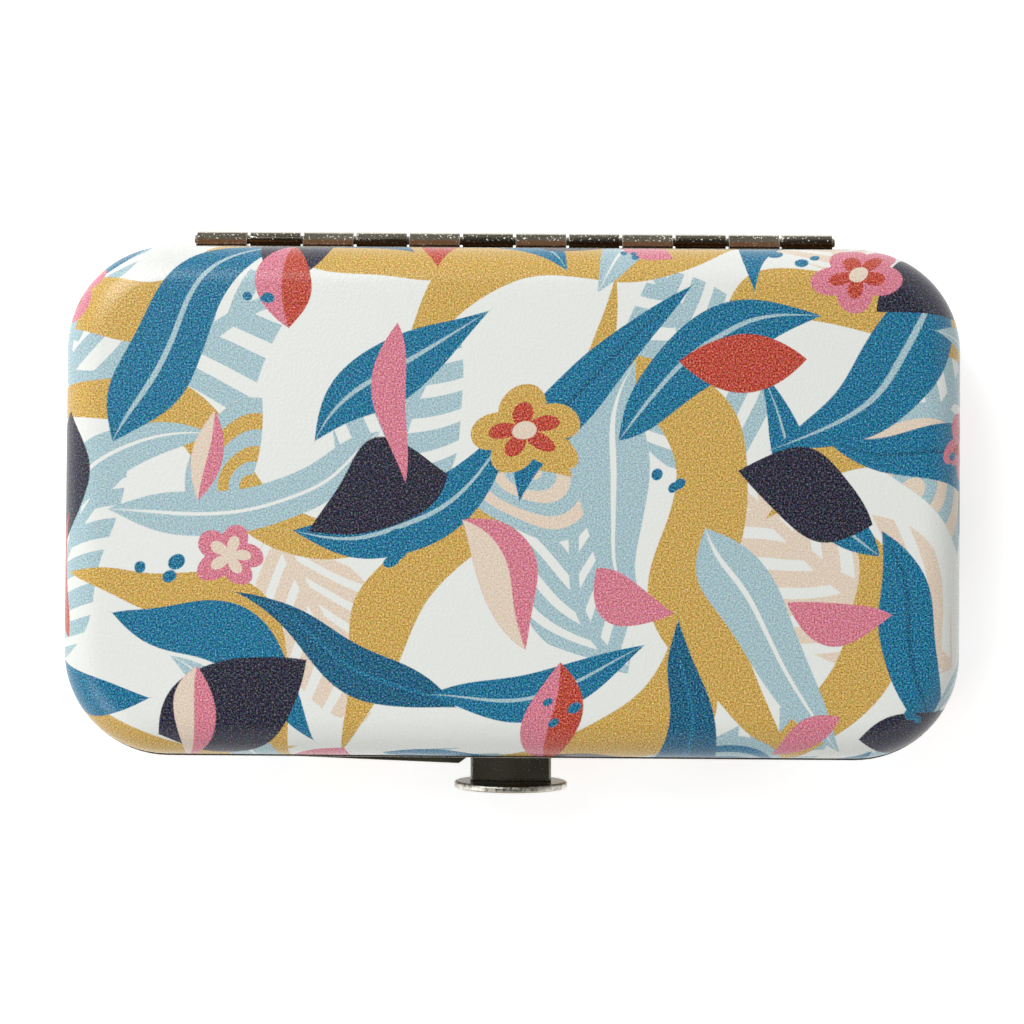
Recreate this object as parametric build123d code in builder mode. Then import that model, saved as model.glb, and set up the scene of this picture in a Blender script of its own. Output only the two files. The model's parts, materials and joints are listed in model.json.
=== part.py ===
from build123d import *
import os
from math import asin, atan2, cos, hypot, radians, sin, sqrt

# All sizes are in millimetres. The closed case lies on Z = 0 and is centred on X = Y = 0. X runs along
# the hinge, Y from the push button in front (-Y) to the hinge at the rear (+Y).
os.makedirs("parts", exist_ok=True)
LID = 1
BASE = -1

# Case outline, measured over the covers
CASE_LENGTH = 112.5
CASE_WIDTH = 64.0
CASE_HEIGHT = 21.0
CORNER_RADIUS = 13.0
EDGE_ROLL = 5.0
SPLIT_Z = 10.5
SPLIT_GAP = 0.2

# Wall layers, from the outside inwards
COVER_THICKNESS = 0.8
PADDING_THICKNESS = 1.0
SHELL_THICKNESS = 0.5
LINING_THICKNESS = 0.9
FRAME_SHEET = 0.35
FRAME_HEIGHT = 3.0
FRAME_EDGE_ROUND = 0.15
PADDING_INSET = COVER_THICKNESS
SHELL_INSET = PADDING_INSET + PADDING_THICKNESS
LINING_INSET = SHELL_INSET + SHELL_THICKNESS
FRAME_INNER_INSET = LINING_INSET + FRAME_SHEET
LINING_INNER_INSET = LINING_INSET + LINING_THICKNESS

# Hinge: one pin and twelve rolled knuckles on welded tabs, every second one on the lid
HINGE_LENGTH = 81.5
KNUCKLE_COUNT = 12
KNUCKLE_GAP = 0.35
KNUCKLE_RADIUS = 1.05
PIN_RADIUS = 0.55
PIN_RUNNING_CLEARANCE = 0.05
PIN_OVERHANG = 0.2
PIN_END_CHAMFER = 0.12
LEAF_THICKNESS = 0.45
LEAF_TAB_HEIGHT = 2.0
LEAF_CLEARANCE = 0.1
FRAME_REAR_Y = CASE_WIDTH / 2 + FRAME_SHEET
HINGE_Y = FRAME_REAR_Y + LEAF_CLEARANCE + KNUCKLE_RADIUS
KNUCKLE_PITCH = HINGE_LENGTH / KNUCKLE_COUNT
KNUCKLE_LENGTH = KNUCKLE_PITCH - KNUCKLE_GAP

# Latch: the push button's tongue, its bracket in the base and the keeper in the lid
BUTTON_TRAVEL = 1.2
BUTTON_WIDTH = 14.4
BUTTON_HEIGHT = 7.0
BUTTON_THICKNESS = 0.9
BUTTON_EDGE_ROUND = 0.3
BUTTON_LEAN = 10.0
BUTTON_STANDOFF = 3.45
NECK_WIDTH = 10.3
NECK_CLEARANCE = 0.35
TONGUE_THICKNESS = 0.6
TONGUE_Z = 9.4
TONGUE_EDGE_ROUND = 0.18
SHOULDER_WIDTH = 14.2
SHOULDER_CLEARANCE = 0.1
SHOULDER_LENGTH = 4.25
WINDOW_WIDTH = 6.8
WINDOW_SPARE = 0.3
CATCH_CLEARANCE = 0.1
NOTCH_FLOOR_Z = 9.2
LIP_RUN = 32.0
LIP_PROUD = 1.1
LIP_END_SLANT = 1.5
LIP_THICKNESS = 0.25
LIP_Z = 9.9

KEEPER_WIDTH = 12.0
KEEPER_THICKNESS = 0.5
KEEPER_TOP_Z = 14.6
KEEPER_FOOT_Z = 10.8
STEM_WIDTH = 6.0
HOOK_DEPTH = 0.9
HOOK_BOTTOM_Z = 8.5
HOOK_TOP_Z = 9.2
FRONT_Y = -CASE_WIDTH / 2
BUTTON_Y = FRONT_Y - BUTTON_STANDOFF
FLANGE_Y = FRONT_Y + FRAME_INNER_INSET
SHOULDER_FRONT_Y = FLANGE_Y + SHOULDER_CLEARANCE
TONGUE_REAR_Y = SHOULDER_FRONT_Y + SHOULDER_LENGTH
KEEPER_Y = FRONT_Y + LINING_INNER_INSET
HOOK_ROOT_Y = KEEPER_Y + KEEPER_THICKNESS
WINDOW_FRONT_Y = KEEPER_Y - BUTTON_TRAVEL - WINDOW_SPARE

BRACKET_WIDTH = 18.4
BRACKET_SHEET = 0.4
BRACKET_TOP_Z = TONGUE_Z - 0.1
BRACKET_FLANGE_Z = 6.8
BRACKET_LENGTH = 7.15
BRACKET_WINDOW_WIDTH = 7.8
BRACKET_WINDOW_LENGTH = 2.75
BRACKET_REAR_Y = FLANGE_Y + BRACKET_LENGTH
BRACKET_WINDOW_REAR_Y = FLANGE_Y + BRACKET_WINDOW_LENGTH
UPSTAND_WIDTH = 13.0
UPSTAND_TOP_Z = 10.6
GUIDE_CLEARANCE = 0.2
GUIDE_THICKNESS = 0.5
GUIDE_LENGTH = 3.2
GUIDE_REAR_GAP = 0.3
GUIDE_CENTER_Y = TONGUE_REAR_Y - GUIDE_REAR_GAP - GUIDE_LENGTH / 2
GUIDE_HOOK_WIDTH = 1.5

RIVET_RADIUS = 0.45
RIVET_HEAD_RADIUS = 0.9
RIVET_HEAD_HEIGHT = 0.35
KEEPER_RIVET_X = 4.6
KEEPER_RIVET_Z = 12.2
BRACKET_RIVET_X = 6.6
BRACKET_RIVET_Z = 7.95
RIVET_END_Y = FRONT_Y + SHELL_INSET

SPRING_SHEET = 0.25
SPRING_WIDTH = 11.0
SPRING_Z = 9.35
SPRING_HEIGHT = 0.9

# Tool tray and the fit of the implements in it
TRAY_TOP_Z = 9.0
POCKET_CLEARANCE = 0.4
LATCH_BAY_WIDTH = 20.0
LATCH_BAY_CLEARANCE = 0.4
LATCH_BAY_REAR_Y = BRACKET_REAR_Y + LATCH_BAY_CLEARANCE
LATCH_BAY_FLOOR_Z = 5.8
WELL_LENGTH = 35.0
WELL_WIDTH = 10.0
WELL_FROM_END = 24.75
WELL_FROM_FRONT = 10.5
WELL_CENTER = (-CASE_LENGTH / 2 + WELL_FROM_END, FRONT_Y + WELL_FROM_FRONT)
WELL_FLOOR_Z = 4.0
WELL_RADIUS = 3.0
SCOOP_LENGTH = 18.0
SCOOP_WIDTH = 13.0
SCOOP_CENTER = (8.0, CASE_WIDTH / 2 - 13.5)
SCOOP_FLOOR_Z = 5.4

# Scissors
SCISSORS_Y = -CASE_WIDTH / 2 + 23.0
SCISSORS_Z = 6.2
HALF_THICKNESS = 1.4
PIVOT_X = -10.0
PIVOT_RADIUS = 3.1
BLADE_TIP_X = -42.0
BLADE_HEEL_X = -13.0
BLADE_SPINE = 2.6
BLADE_EDGE = 1.5
LOOP_X = 32.0
LOOP_OFFSET = 9.0
LOOP_LENGTH = 28.0
LOOP_WIDTH = 17.0
LOOP_BAR = 2.4
LOOP_EDGE_ROUND = 0.9
SHANK_END_X = 21.0
SHANK_END_OFFSET = 4.9
SHANK_END_RADIUS = 1.6
SCREW_RADIUS = 1.3
SCREW_HEAD_RADIUS = 2.1
SCREW_HEAD_HEIGHT = 0.5
SCREW_SLOT_WIDTH = 0.5
SCREW_SLOT_DEPTH = 0.3

# Nail clipper
CLIPPER_LENGTH = 54.0
CLIPPER_WIDTH = 11.5
CLIPPER_CENTER = (-CASE_LENGTH / 2 + 34.25, SCISSORS_Y + 12.25)
CLIPPER_Z = 4.6
CLIPPER_SHEET = 1.2
CLIPPER_CORNER = 2.6
CLIPPER_RISE = 3.8
JAW_GAP = 0.4
JAW_HEIGHT = 2.4
JAW_BEVEL = 1.6
JAW_LIP = 0.8
JAW_KNEE = 1.8
JAW_ROOT = 2.6
JAW_ROOT_DROP = 0.2
UPPER_JAW_ROOT = 2.2
UPPER_BEND = 4.5
LEAVES_JOINED = 9.0
LEVER_START = 3.0
LEVER_FLAT_END = 9.0
LEVER_LIFT = 0.2
LEVER_TAIL = 6.0
LEVER_TAIL_LIFT = 0.8
LEVER_TIP_LIFT = 2.0
LEVER_TIP_INSET = 0.5
LEVER_EDGE_ROUND = 0.4
LEVER_WIDTH = 8.0
POST_RADIUS = 1.25
POST_HEAD_RADIUS = 2.0
POST_HEAD_HEIGHT = 0.7
POST_FROM_JAW = 6.0
CLIPPER_RIVET_FROM_REAR = 4.5
CLIPPER_RIVET_RADIUS = 1.2
CLIPPER_RIVET_HEAD = 0.5

# Tweezers
TWEEZERS_LENGTH = 88.0
TWEEZERS_WIDTH = 8.0
TWEEZERS_Y = CASE_WIDTH / 2 - 17.5
TWEEZERS_MID_Z = 7.2
TWEEZERS_SHEET = 0.8
TWEEZERS_BOW = 2.0
TWEEZERS_TIP_WIDTH = 3.0
TWEEZERS_TIP_OPENING = 0.5
TWEEZERS_WELD_X = 34.0
TWEEZERS_FLOOR_Z = 4.1

# Nail file
FILE_Y = CASE_WIDTH / 2 - 8.5
FILE_TIP_X = -45.0
FILE_TIP_LENGTH = 12.0
FILE_TIP_WIDTH = 1.2
FILE_TANG_X = 20.0
FILE_WIDTH = 6.0
FILE_THICKNESS = 1.0
FILE_Z = 7.4
HANDLE_START_X = 8.0
HANDLE_END_X = 45.0
HANDLE_WIDTH = 6.4
HANDLE_THICKNESS = 3.0
HANDLE_Z = 6.4
HANDLE_ROUND = 1.2


def outline(inset, mode=Mode.ADD):
    """Case outline, drawn smaller by inset all round."""
    RectangleRounded(
        CASE_LENGTH - 2 * inset, CASE_WIDTH - 2 * inset, CORNER_RADIUS - inset, mode=mode
    )


def rim_z(half):
    """Height of the frame web's inner side, where the wall layers of one half end."""
    return SPLIT_Z + half * (SPLIT_GAP / 2 + FRAME_SHEET)


def rolled_block(builder, half, inset, open_z):
    """Outline filled from open_z to the rolled outer face of one half, drawn smaller by inset."""
    face_z = CASE_HEIGHT - inset if half == LID else inset
    with BuildSketch(Plane.XY.offset(open_z)) as profile:
        outline(inset)
    extrude(profile.sketch, amount=face_z - open_z)
    ends = builder.faces().filter_by(Axis.Z).sort_by(Axis.Z)
    fillet((ends[-1] if half == LID else ends[0]).edges(), EDGE_ROLL - inset)


def rolled_pan(builder, half, inset, thickness):
    """Wall layer of one half, open towards the split."""
    rolled_block(builder, half, inset, rim_z(half))
    ends = builder.faces().filter_by(Axis.Z).sort_by(Axis.Z)
    offset(amount=-thickness, openings=ends[0] if half == LID else ends[-1])


def cut_ring(inset, width, z_from, z_to):
    """Cut a ring that follows the outline."""
    with BuildSketch(Plane.XY.offset(z_from)) as profile:
        outline(inset)
        outline(inset + width, mode=Mode.SUBTRACT)
    extrude(profile.sketch, amount=z_to - z_from, mode=Mode.SUBTRACT)


def frame_channel(builder, half):
    """U-shaped metal channel that clamps the wall layers of one half at the split."""
    with BuildSketch(Plane.XY.offset(SPLIT_Z + half * SPLIT_GAP / 2)) as profile:
        outline(-FRAME_SHEET)
        outline(FRAME_INNER_INSET, mode=Mode.SUBTRACT)
    extrude(profile.sketch, amount=half * FRAME_HEIGHT)
    with BuildSketch(Plane.XY.offset(rim_z(half))) as profile:
        outline(0)
        outline(LINING_INSET, mode=Mode.SUBTRACT)
    extrude(profile.sketch, amount=half * (FRAME_HEIGHT - FRAME_SHEET), mode=Mode.SUBTRACT)
    faces = builder.faces().filter_by(Axis.Z).sort_by(Axis.Z)
    web = faces[0] if half == LID else faces[-1]
    fillet(web.outer_wire().edges(), FRAME_EDGE_ROUND)


def cut_box(x_from, x_to, y_from, y_to, z_from, z_to):
    """Cut a box given by its limits."""
    with BuildSketch(Plane.XY.offset(z_from)) as profile:
        with Locations(((x_from + x_to) / 2, (y_from + y_to) / 2)):
            Rectangle(x_to - x_from, y_to - y_from)
    extrude(profile.sketch, amount=z_to - z_from, mode=Mode.SUBTRACT)


def cut_neck_notch():
    """Clearance for the button's neck through the front wall of the base."""
    half_width = NECK_WIDTH / 2 + NECK_CLEARANCE
    front = -CASE_WIDTH / 2 - FRAME_SHEET - LIP_PROUD
    cut_box(-half_width, half_width, front, FLANGE_Y + 0.1, NOTCH_FLOOR_Z, SPLIT_Z)


def cut_rivet_holes(x, z):
    """Two rivet holes through the front wall's inner layers."""
    with BuildSketch(Plane.XZ.offset(-RIVET_END_Y)) as profile:
        with Locations((-x, z), (x, z)):
            Circle(RIVET_RADIUS)
    extrude(profile.sketch, amount=RIVET_END_Y - HOOK_ROOT_Y - 1, mode=Mode.SUBTRACT)


def wall_rivet(x, z, seat_y):
    """Rivet along Y, its domed head seated on seat_y and its shank ending in the shell."""
    with BuildSketch(Plane.XZ.offset(-RIVET_END_Y)) as profile:
        with Locations((x, z)):
            Circle(RIVET_RADIUS)
    extrude(profile.sketch, amount=RIVET_END_Y - seat_y)
    with BuildSketch(Plane.XZ.offset(-seat_y)) as profile:
        with Locations((x, z)):
            Circle(RIVET_HEAD_RADIUS)
    extrude(profile.sketch, amount=-RIVET_HEAD_HEIGHT)


# Lid walls
with BuildPart() as lid_cover:
    rolled_pan(lid_cover, LID, 0, COVER_THICKNESS)
lid_cover.part.label = "lid_cover"
export_step(lid_cover.part, "parts/lid_cover.step")

with BuildPart() as lid_padding:
    rolled_pan(lid_padding, LID, PADDING_INSET, PADDING_THICKNESS)
lid_padding.part.label = "lid_padding"
export_step(lid_padding.part, "parts/lid_padding.step")

with BuildPart() as lid_shell:
    rolled_pan(lid_shell, LID, SHELL_INSET, SHELL_THICKNESS)
    cut_rivet_holes(KEEPER_RIVET_X, KEEPER_RIVET_Z)
lid_shell.part.label = "lid_shell"
export_step(lid_shell.part, "parts/lid_shell.step")

with BuildPart() as lid_frame:
    frame_channel(lid_frame, LID)
    cut_rivet_holes(KEEPER_RIVET_X, KEEPER_RIVET_Z)
lid_frame.part.label = "lid_frame"
export_step(lid_frame.part, "parts/lid_frame.step")

with BuildPart() as lid_lining:
    rolled_pan(lid_lining, LID, LINING_INSET, LINING_THICKNESS)
    cut_ring(LINING_INSET, FRAME_SHEET, rim_z(LID), SPLIT_Z + SPLIT_GAP / 2 + FRAME_HEIGHT)
    cut_rivet_holes(KEEPER_RIVET_X, KEEPER_RIVET_Z)
lid_lining.part.label = "lid_lining"
export_step(lid_lining.part, "parts/lid_lining.step")

# Base walls
with BuildPart() as base_cover:
    rolled_pan(base_cover, BASE, 0, COVER_THICKNESS)
    cut_neck_notch()
base_cover.part.label = "base_cover"
export_step(base_cover.part, "parts/base_cover.step")

with BuildPart() as base_padding:
    rolled_pan(base_padding, BASE, PADDING_INSET, PADDING_THICKNESS)
    cut_neck_notch()
base_padding.part.label = "base_padding"
export_step(base_padding.part, "parts/base_padding.step")

with BuildPart() as base_shell:
    rolled_pan(base_shell, BASE, SHELL_INSET, SHELL_THICKNESS)
    cut_neck_notch()
    cut_rivet_holes(BRACKET_RIVET_X, BRACKET_RIVET_Z)
base_shell.part.label = "base_shell"
export_step(base_shell.part, "parts/base_shell.step")

with BuildPart() as base_frame:
    frame_channel(base_frame, BASE)
    # Sprung-out lip beside the notch, rooted in the middle of the outer band's sheet
    lip_root_y = -CASE_WIDTH / 2 - FRAME_SHEET / 2
    lip_end_x = -NECK_WIDTH / 2
    with BuildSketch(Plane.XY.offset(LIP_Z)):
        with BuildLine():
            Polyline(
                (lip_end_x, lip_root_y),
                (lip_end_x - LIP_END_SLANT, lip_root_y - LIP_PROUD),
                (lip_end_x - LIP_RUN, lip_root_y),
                close=True,
            )
        make_face()
    extrude(amount=LIP_THICKNESS)
    cut_neck_notch()
    cut_rivet_holes(BRACKET_RIVET_X, BRACKET_RIVET_Z)
base_frame.part.label = "base_frame"
export_step(base_frame.part, "parts/base_frame.step")


# Hinge knuckles and pin
def hinge_leaf(half, first, bore_radius):
    """Rolled knuckles on every second pitch, each with a tab welded to the frame that slopes onto its roll."""
    tab_y = FRAME_REAR_Y + LEAF_THICKNESS
    to_axis = HINGE_Y - tab_y
    corner_distance = hypot(to_axis, LEAF_TAB_HEIGHT)
    slope_run = sqrt(corner_distance**2 - KNUCKLE_RADIUS**2)
    slope_angle = asin(KNUCKLE_RADIUS / corner_distance) - atan2(LEAF_TAB_HEIGHT, to_axis)
    touch_y = tab_y + slope_run * cos(slope_angle)
    touch_height = LEAF_TAB_HEIGHT + slope_run * sin(slope_angle)
    stations = [
        -HINGE_LENGTH / 2 + KNUCKLE_PITCH * (i + 0.5) for i in range(first, KNUCKLE_COUNT, 2)
    ]
    with BuildSketch(*[Plane.YZ.offset(x) for x in stations]) as profile:
        Polygon(
            (FRAME_REAR_Y, SPLIT_Z + half * FRAME_SHEET),
            (FRAME_REAR_Y, SPLIT_Z + half * LEAF_TAB_HEIGHT),
            (tab_y, SPLIT_Z + half * LEAF_TAB_HEIGHT),
            (touch_y, SPLIT_Z + half * touch_height),
            (HINGE_Y, SPLIT_Z),
            align=None,
        )
        with Locations((HINGE_Y, SPLIT_Z)):
            Circle(KNUCKLE_RADIUS)
            Circle(bore_radius, mode=Mode.SUBTRACT)
    extrude(profile.sketch, amount=KNUCKLE_LENGTH / 2, both=True)


with BuildPart() as lid_hinge_leaf:
    hinge_leaf(LID, 0, PIN_RADIUS + PIN_RUNNING_CLEARANCE)
lid_hinge_leaf.part.label = "lid_hinge_leaf"
export_step(lid_hinge_leaf.part, "parts/lid_hinge_leaf.step")

with BuildPart() as base_hinge_leaf:
    hinge_leaf(BASE, 1, PIN_RADIUS)
base_hinge_leaf.part.label = "base_hinge_leaf"
export_step(base_hinge_leaf.part, "parts/base_hinge_leaf.step")

with BuildPart() as hinge_pin:
    with BuildSketch(Plane.YZ):
        with Locations((HINGE_Y, SPLIT_Z)):
            Circle(PIN_RADIUS)
    extrude(amount=HINGE_LENGTH / 2 + PIN_OVERHANG, both=True)
    chamfer(hinge_pin.edges().filter_by(GeomType.CIRCLE), PIN_END_CHAMFER)
hinge_pin.part.label = "hinge_pin"
export_step(hinge_pin.part, "parts/hinge_pin.step")

# Push button: oval thumb plate, leaning outwards at the top
button_plane = Plane(
    origin=(0, BUTTON_Y, TONGUE_Z + TONGUE_THICKNESS / 2),
    x_dir=(1, 0, 0),
    z_dir=(0, -cos(radians(BUTTON_LEAN)), -sin(radians(BUTTON_LEAN))),
)
with BuildPart() as button_plate:
    with BuildSketch(button_plane):
        Ellipse(BUTTON_WIDTH / 2, BUTTON_HEIGHT / 2)
    extrude(amount=BUTTON_THICKNESS)
    fillet(button_plate.edges(), BUTTON_EDGE_ROUND)
button_plate.part.label = "button_plate"
export_step(button_plate.part, "parts/button_plate.step")

# Latch tongue: neck through the frame, shoulders that stop on it, and the catch window
window_rear_y = HOOK_ROOT_Y + CATCH_CLEARANCE
with BuildPart() as latch_tongue:
    with BuildSketch(Plane.XY.offset(TONGUE_Z)):
        with Locations((0, (BUTTON_Y + TONGUE_REAR_Y) / 2)):
            Rectangle(NECK_WIDTH, TONGUE_REAR_Y - BUTTON_Y)
        with Locations((0, (SHOULDER_FRONT_Y + TONGUE_REAR_Y) / 2)):
            RectangleRounded(SHOULDER_WIDTH, TONGUE_REAR_Y - SHOULDER_FRONT_Y, 0.8)
        with Locations((0, (WINDOW_FRONT_Y + window_rear_y) / 2)):
            Rectangle(WINDOW_WIDTH, window_rear_y - WINDOW_FRONT_Y, mode=Mode.SUBTRACT)
    extrude(amount=TONGUE_THICKNESS)
    neck_sides = latch_tongue.faces().filter_by(Axis.X).group_by(SortBy.AREA)[-1].edges()
    fillet(neck_sides.filter_by(Axis.Y), TONGUE_EDGE_ROUND)
    with BuildSketch(button_plane):
        Rectangle(BUTTON_WIDTH, BUTTON_HEIGHT)
    extrude(amount=BUTTON_HEIGHT, mode=Mode.SUBTRACT)
latch_tongue.part.label = "latch_tongue"
export_step(latch_tongue.part, "parts/latch_tongue.step")

# Bracket that guides the tongue behind the front wall of the base
guide_x = SHOULDER_WIDTH / 2 + GUIDE_CLEARANCE + GUIDE_THICKNESS / 2
guide_top_z = TONGUE_Z + TONGUE_THICKNESS + CATCH_CLEARANCE
with BuildPart() as latch_bracket:
    with BuildSketch(Plane.XY.offset(BRACKET_TOP_Z)):
        with Locations((0, (FLANGE_Y + BRACKET_REAR_Y) / 2)):
            Rectangle(BRACKET_WIDTH, BRACKET_REAR_Y - FLANGE_Y)
    extrude(amount=-BRACKET_SHEET)
    with BuildSketch(Plane.XY.offset(BRACKET_TOP_Z)):
        with Locations((0, FLANGE_Y + BRACKET_SHEET / 2)):
            Rectangle(BRACKET_WIDTH, BRACKET_SHEET)
    extrude(amount=BRACKET_FLANGE_Z - BRACKET_TOP_Z)
    with BuildSketch(Plane.XY.offset(BRACKET_TOP_Z)):
        with Locations((0, BRACKET_REAR_Y - BRACKET_SHEET / 2)):
            Rectangle(UPSTAND_WIDTH, BRACKET_SHEET)
    extrude(amount=UPSTAND_TOP_Z - BRACKET_TOP_Z)
    with BuildSketch(Plane.XY.offset(BRACKET_TOP_Z)):
        with Locations((-guide_x, GUIDE_CENTER_Y), (guide_x, GUIDE_CENTER_Y)):
            Rectangle(GUIDE_THICKNESS, GUIDE_LENGTH)
    extrude(amount=guide_top_z - BRACKET_TOP_Z)
    hook_x = guide_x + GUIDE_THICKNESS / 2 - GUIDE_HOOK_WIDTH / 2
    with BuildSketch(Plane.XY.offset(guide_top_z)):
        with Locations((-hook_x, GUIDE_CENTER_Y), (hook_x, GUIDE_CENTER_Y)):
            Rectangle(GUIDE_HOOK_WIDTH, GUIDE_LENGTH)
    extrude(amount=BRACKET_SHEET)
    half_window = BRACKET_WINDOW_WIDTH / 2
    cut_box(-half_window, half_window, FLANGE_Y, BRACKET_WINDOW_REAR_Y, BRACKET_FLANGE_Z, UPSTAND_TOP_Z)
    cut_rivet_holes(BRACKET_RIVET_X, BRACKET_RIVET_Z)
latch_bracket.part.label = "latch_bracket"
export_step(latch_bracket.part, "parts/latch_bracket.step")

with BuildPart() as bracket_rivet_left:
    wall_rivet(-BRACKET_RIVET_X, BRACKET_RIVET_Z, FLANGE_Y + BRACKET_SHEET)
bracket_rivet_left.part.label = "bracket_rivet_left"
export_step(bracket_rivet_left.part, "parts/bracket_rivet_left.step")

with BuildPart() as bracket_rivet_right:
    wall_rivet(BRACKET_RIVET_X, BRACKET_RIVET_Z, FLANGE_Y + BRACKET_SHEET)
bracket_rivet_right.part.label = "bracket_rivet_right"
export_step(bracket_rivet_right.part, "parts/bracket_rivet_right.step")

# Bowed leaf spring between the bracket's upstand and the tongue
spring_rest_y = BRACKET_REAR_Y - BRACKET_SHEET
with BuildPart() as latch_spring:
    with BuildSketch(Plane.XY.offset(SPRING_Z)):
        with BuildLine():
            ThreePointArc(
                (-SPRING_WIDTH / 2, spring_rest_y - SPRING_SHEET),
                (0, TONGUE_REAR_Y),
                (SPRING_WIDTH / 2, spring_rest_y - SPRING_SHEET),
            )
            Line(
                (SPRING_WIDTH / 2, spring_rest_y - SPRING_SHEET), (SPRING_WIDTH / 2, spring_rest_y)
            )
            ThreePointArc(
                (SPRING_WIDTH / 2, spring_rest_y),
                (0, TONGUE_REAR_Y + SPRING_SHEET),
                (-SPRING_WIDTH / 2, spring_rest_y),
            )
            Line(
                (-SPRING_WIDTH / 2, spring_rest_y), (-SPRING_WIDTH / 2, spring_rest_y - SPRING_SHEET)
            )
        make_face()
    extrude(amount=SPRING_HEIGHT)
latch_spring.part.label = "latch_spring"
export_step(latch_spring.part, "parts/latch_spring.step")

# Keeper in the lid: riveted plate, stem and a hook whose ramp pushes the tongue back on closing
with BuildPart() as keeper_plate:
    with BuildSketch(Plane.XZ.offset(-KEEPER_Y)):
        with Locations((0, (KEEPER_FOOT_Z + KEEPER_TOP_Z) / 2)):
            RectangleRounded(KEEPER_WIDTH, KEEPER_TOP_Z - KEEPER_FOOT_Z, 1.0)
        with Locations((0, (HOOK_BOTTOM_Z + KEEPER_TOP_Z) / 2)):
            Rectangle(STEM_WIDTH, KEEPER_TOP_Z - HOOK_BOTTOM_Z)
    extrude(amount=-KEEPER_THICKNESS)
    with BuildSketch(Plane.YZ):
        with BuildLine():
            Polyline(
                (HOOK_ROOT_Y, HOOK_BOTTOM_Z),
                (HOOK_ROOT_Y + HOOK_DEPTH, HOOK_TOP_Z - 0.15),
                (HOOK_ROOT_Y + HOOK_DEPTH, HOOK_TOP_Z),
                (HOOK_ROOT_Y, HOOK_TOP_Z),
                close=True,
            )
        make_face()
    extrude(amount=STEM_WIDTH / 2, both=True)
    cut_rivet_holes(KEEPER_RIVET_X, KEEPER_RIVET_Z)
keeper_plate.part.label = "keeper_plate"
export_step(keeper_plate.part, "parts/keeper_plate.step")

with BuildPart() as keeper_rivet_left:
    wall_rivet(-KEEPER_RIVET_X, KEEPER_RIVET_Z, HOOK_ROOT_Y)
keeper_rivet_left.part.label = "keeper_rivet_left"
export_step(keeper_rivet_left.part, "parts/keeper_rivet_left.step")

with BuildPart() as keeper_rivet_right:
    wall_rivet(KEEPER_RIVET_X, KEEPER_RIVET_Z, HOOK_ROOT_Y)
keeper_rivet_right.part.label = "keeper_rivet_right"
export_step(keeper_rivet_right.part, "parts/keeper_rivet_right.step")

# Scissors: two crossed halves in planes of their own, sharing the pivot screw
scissors_mid_z = SCISSORS_Z + HALF_THICKNESS
scissors_top_z = scissors_mid_z + HALF_THICKNESS


def blade_plan(side):
    """Plan of the blade whose half has its finger loop on the given side (+1 rear, -1 front)."""
    with BuildLine() as border:
        Polyline(
            (BLADE_TIP_X, SCISSORS_Y),
            (BLADE_HEEL_X, SCISSORS_Y - side * BLADE_SPINE),
            (PIVOT_X, SCISSORS_Y - side * BLADE_SPINE),
            (PIVOT_X, SCISSORS_Y + side * BLADE_EDGE),
            (BLADE_HEEL_X, SCISSORS_Y + side * BLADE_EDGE),
            close=True,
        )
    make_face(border.edges())


def shank_plan(side):
    """Plan of the tapered shank from the pivot to the finger loop."""
    with Locations((PIVOT_X, SCISSORS_Y)):
        Circle(PIVOT_RADIUS)
    with Locations((SHANK_END_X, SCISSORS_Y + side * SHANK_END_OFFSET)):
        Circle(SHANK_END_RADIUS)
    make_hull()


def loop_plan(side, growth=0, mode=Mode.ADD):
    """Plan of the finger loop's outside, drawn larger by growth all round."""
    with Locations((LOOP_X, SCISSORS_Y + side * LOOP_OFFSET)):
        Ellipse(LOOP_LENGTH / 2 + growth, LOOP_WIDTH / 2 + growth, mode=mode)


def scissors_half(builder, side, z_low):
    """Flat blade and shank from z_low up, and a rounded finger loop of the scissors' full height."""
    with BuildSketch(Plane.XY.offset(SCISSORS_Z)) as profile:
        loop_plan(side)
        loop_plan(side, -LOOP_BAR, Mode.SUBTRACT)
    extrude(profile.sketch, amount=2 * HALF_THICKNESS)
    fillet(builder.edges().filter_by(Plane.XY), LOOP_EDGE_ROUND)
    for plan in (blade_plan, shank_plan):
        with BuildSketch(Plane.XY.offset(z_low)) as profile:
            plan(side)
        extrude(profile.sketch, amount=HALF_THICKNESS)
    with BuildSketch(Plane.XY.offset(z_low)) as profile:
        with Locations((PIVOT_X, SCISSORS_Y)):
            Circle(SCREW_RADIUS)
    extrude(profile.sketch, amount=HALF_THICKNESS, mode=Mode.SUBTRACT)


with BuildPart() as scissors_half_lower:
    scissors_half(scissors_half_lower, 1, SCISSORS_Z)
scissors_half_lower.part.label = "scissors_half_lower"
export_step(scissors_half_lower.part, "parts/scissors_half_lower.step")

with BuildPart() as scissors_half_upper:
    scissors_half(scissors_half_upper, -1, scissors_mid_z)
scissors_half_upper.part.label = "scissors_half_upper"
export_step(scissors_half_upper.part, "parts/scissors_half_upper.step")

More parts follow.
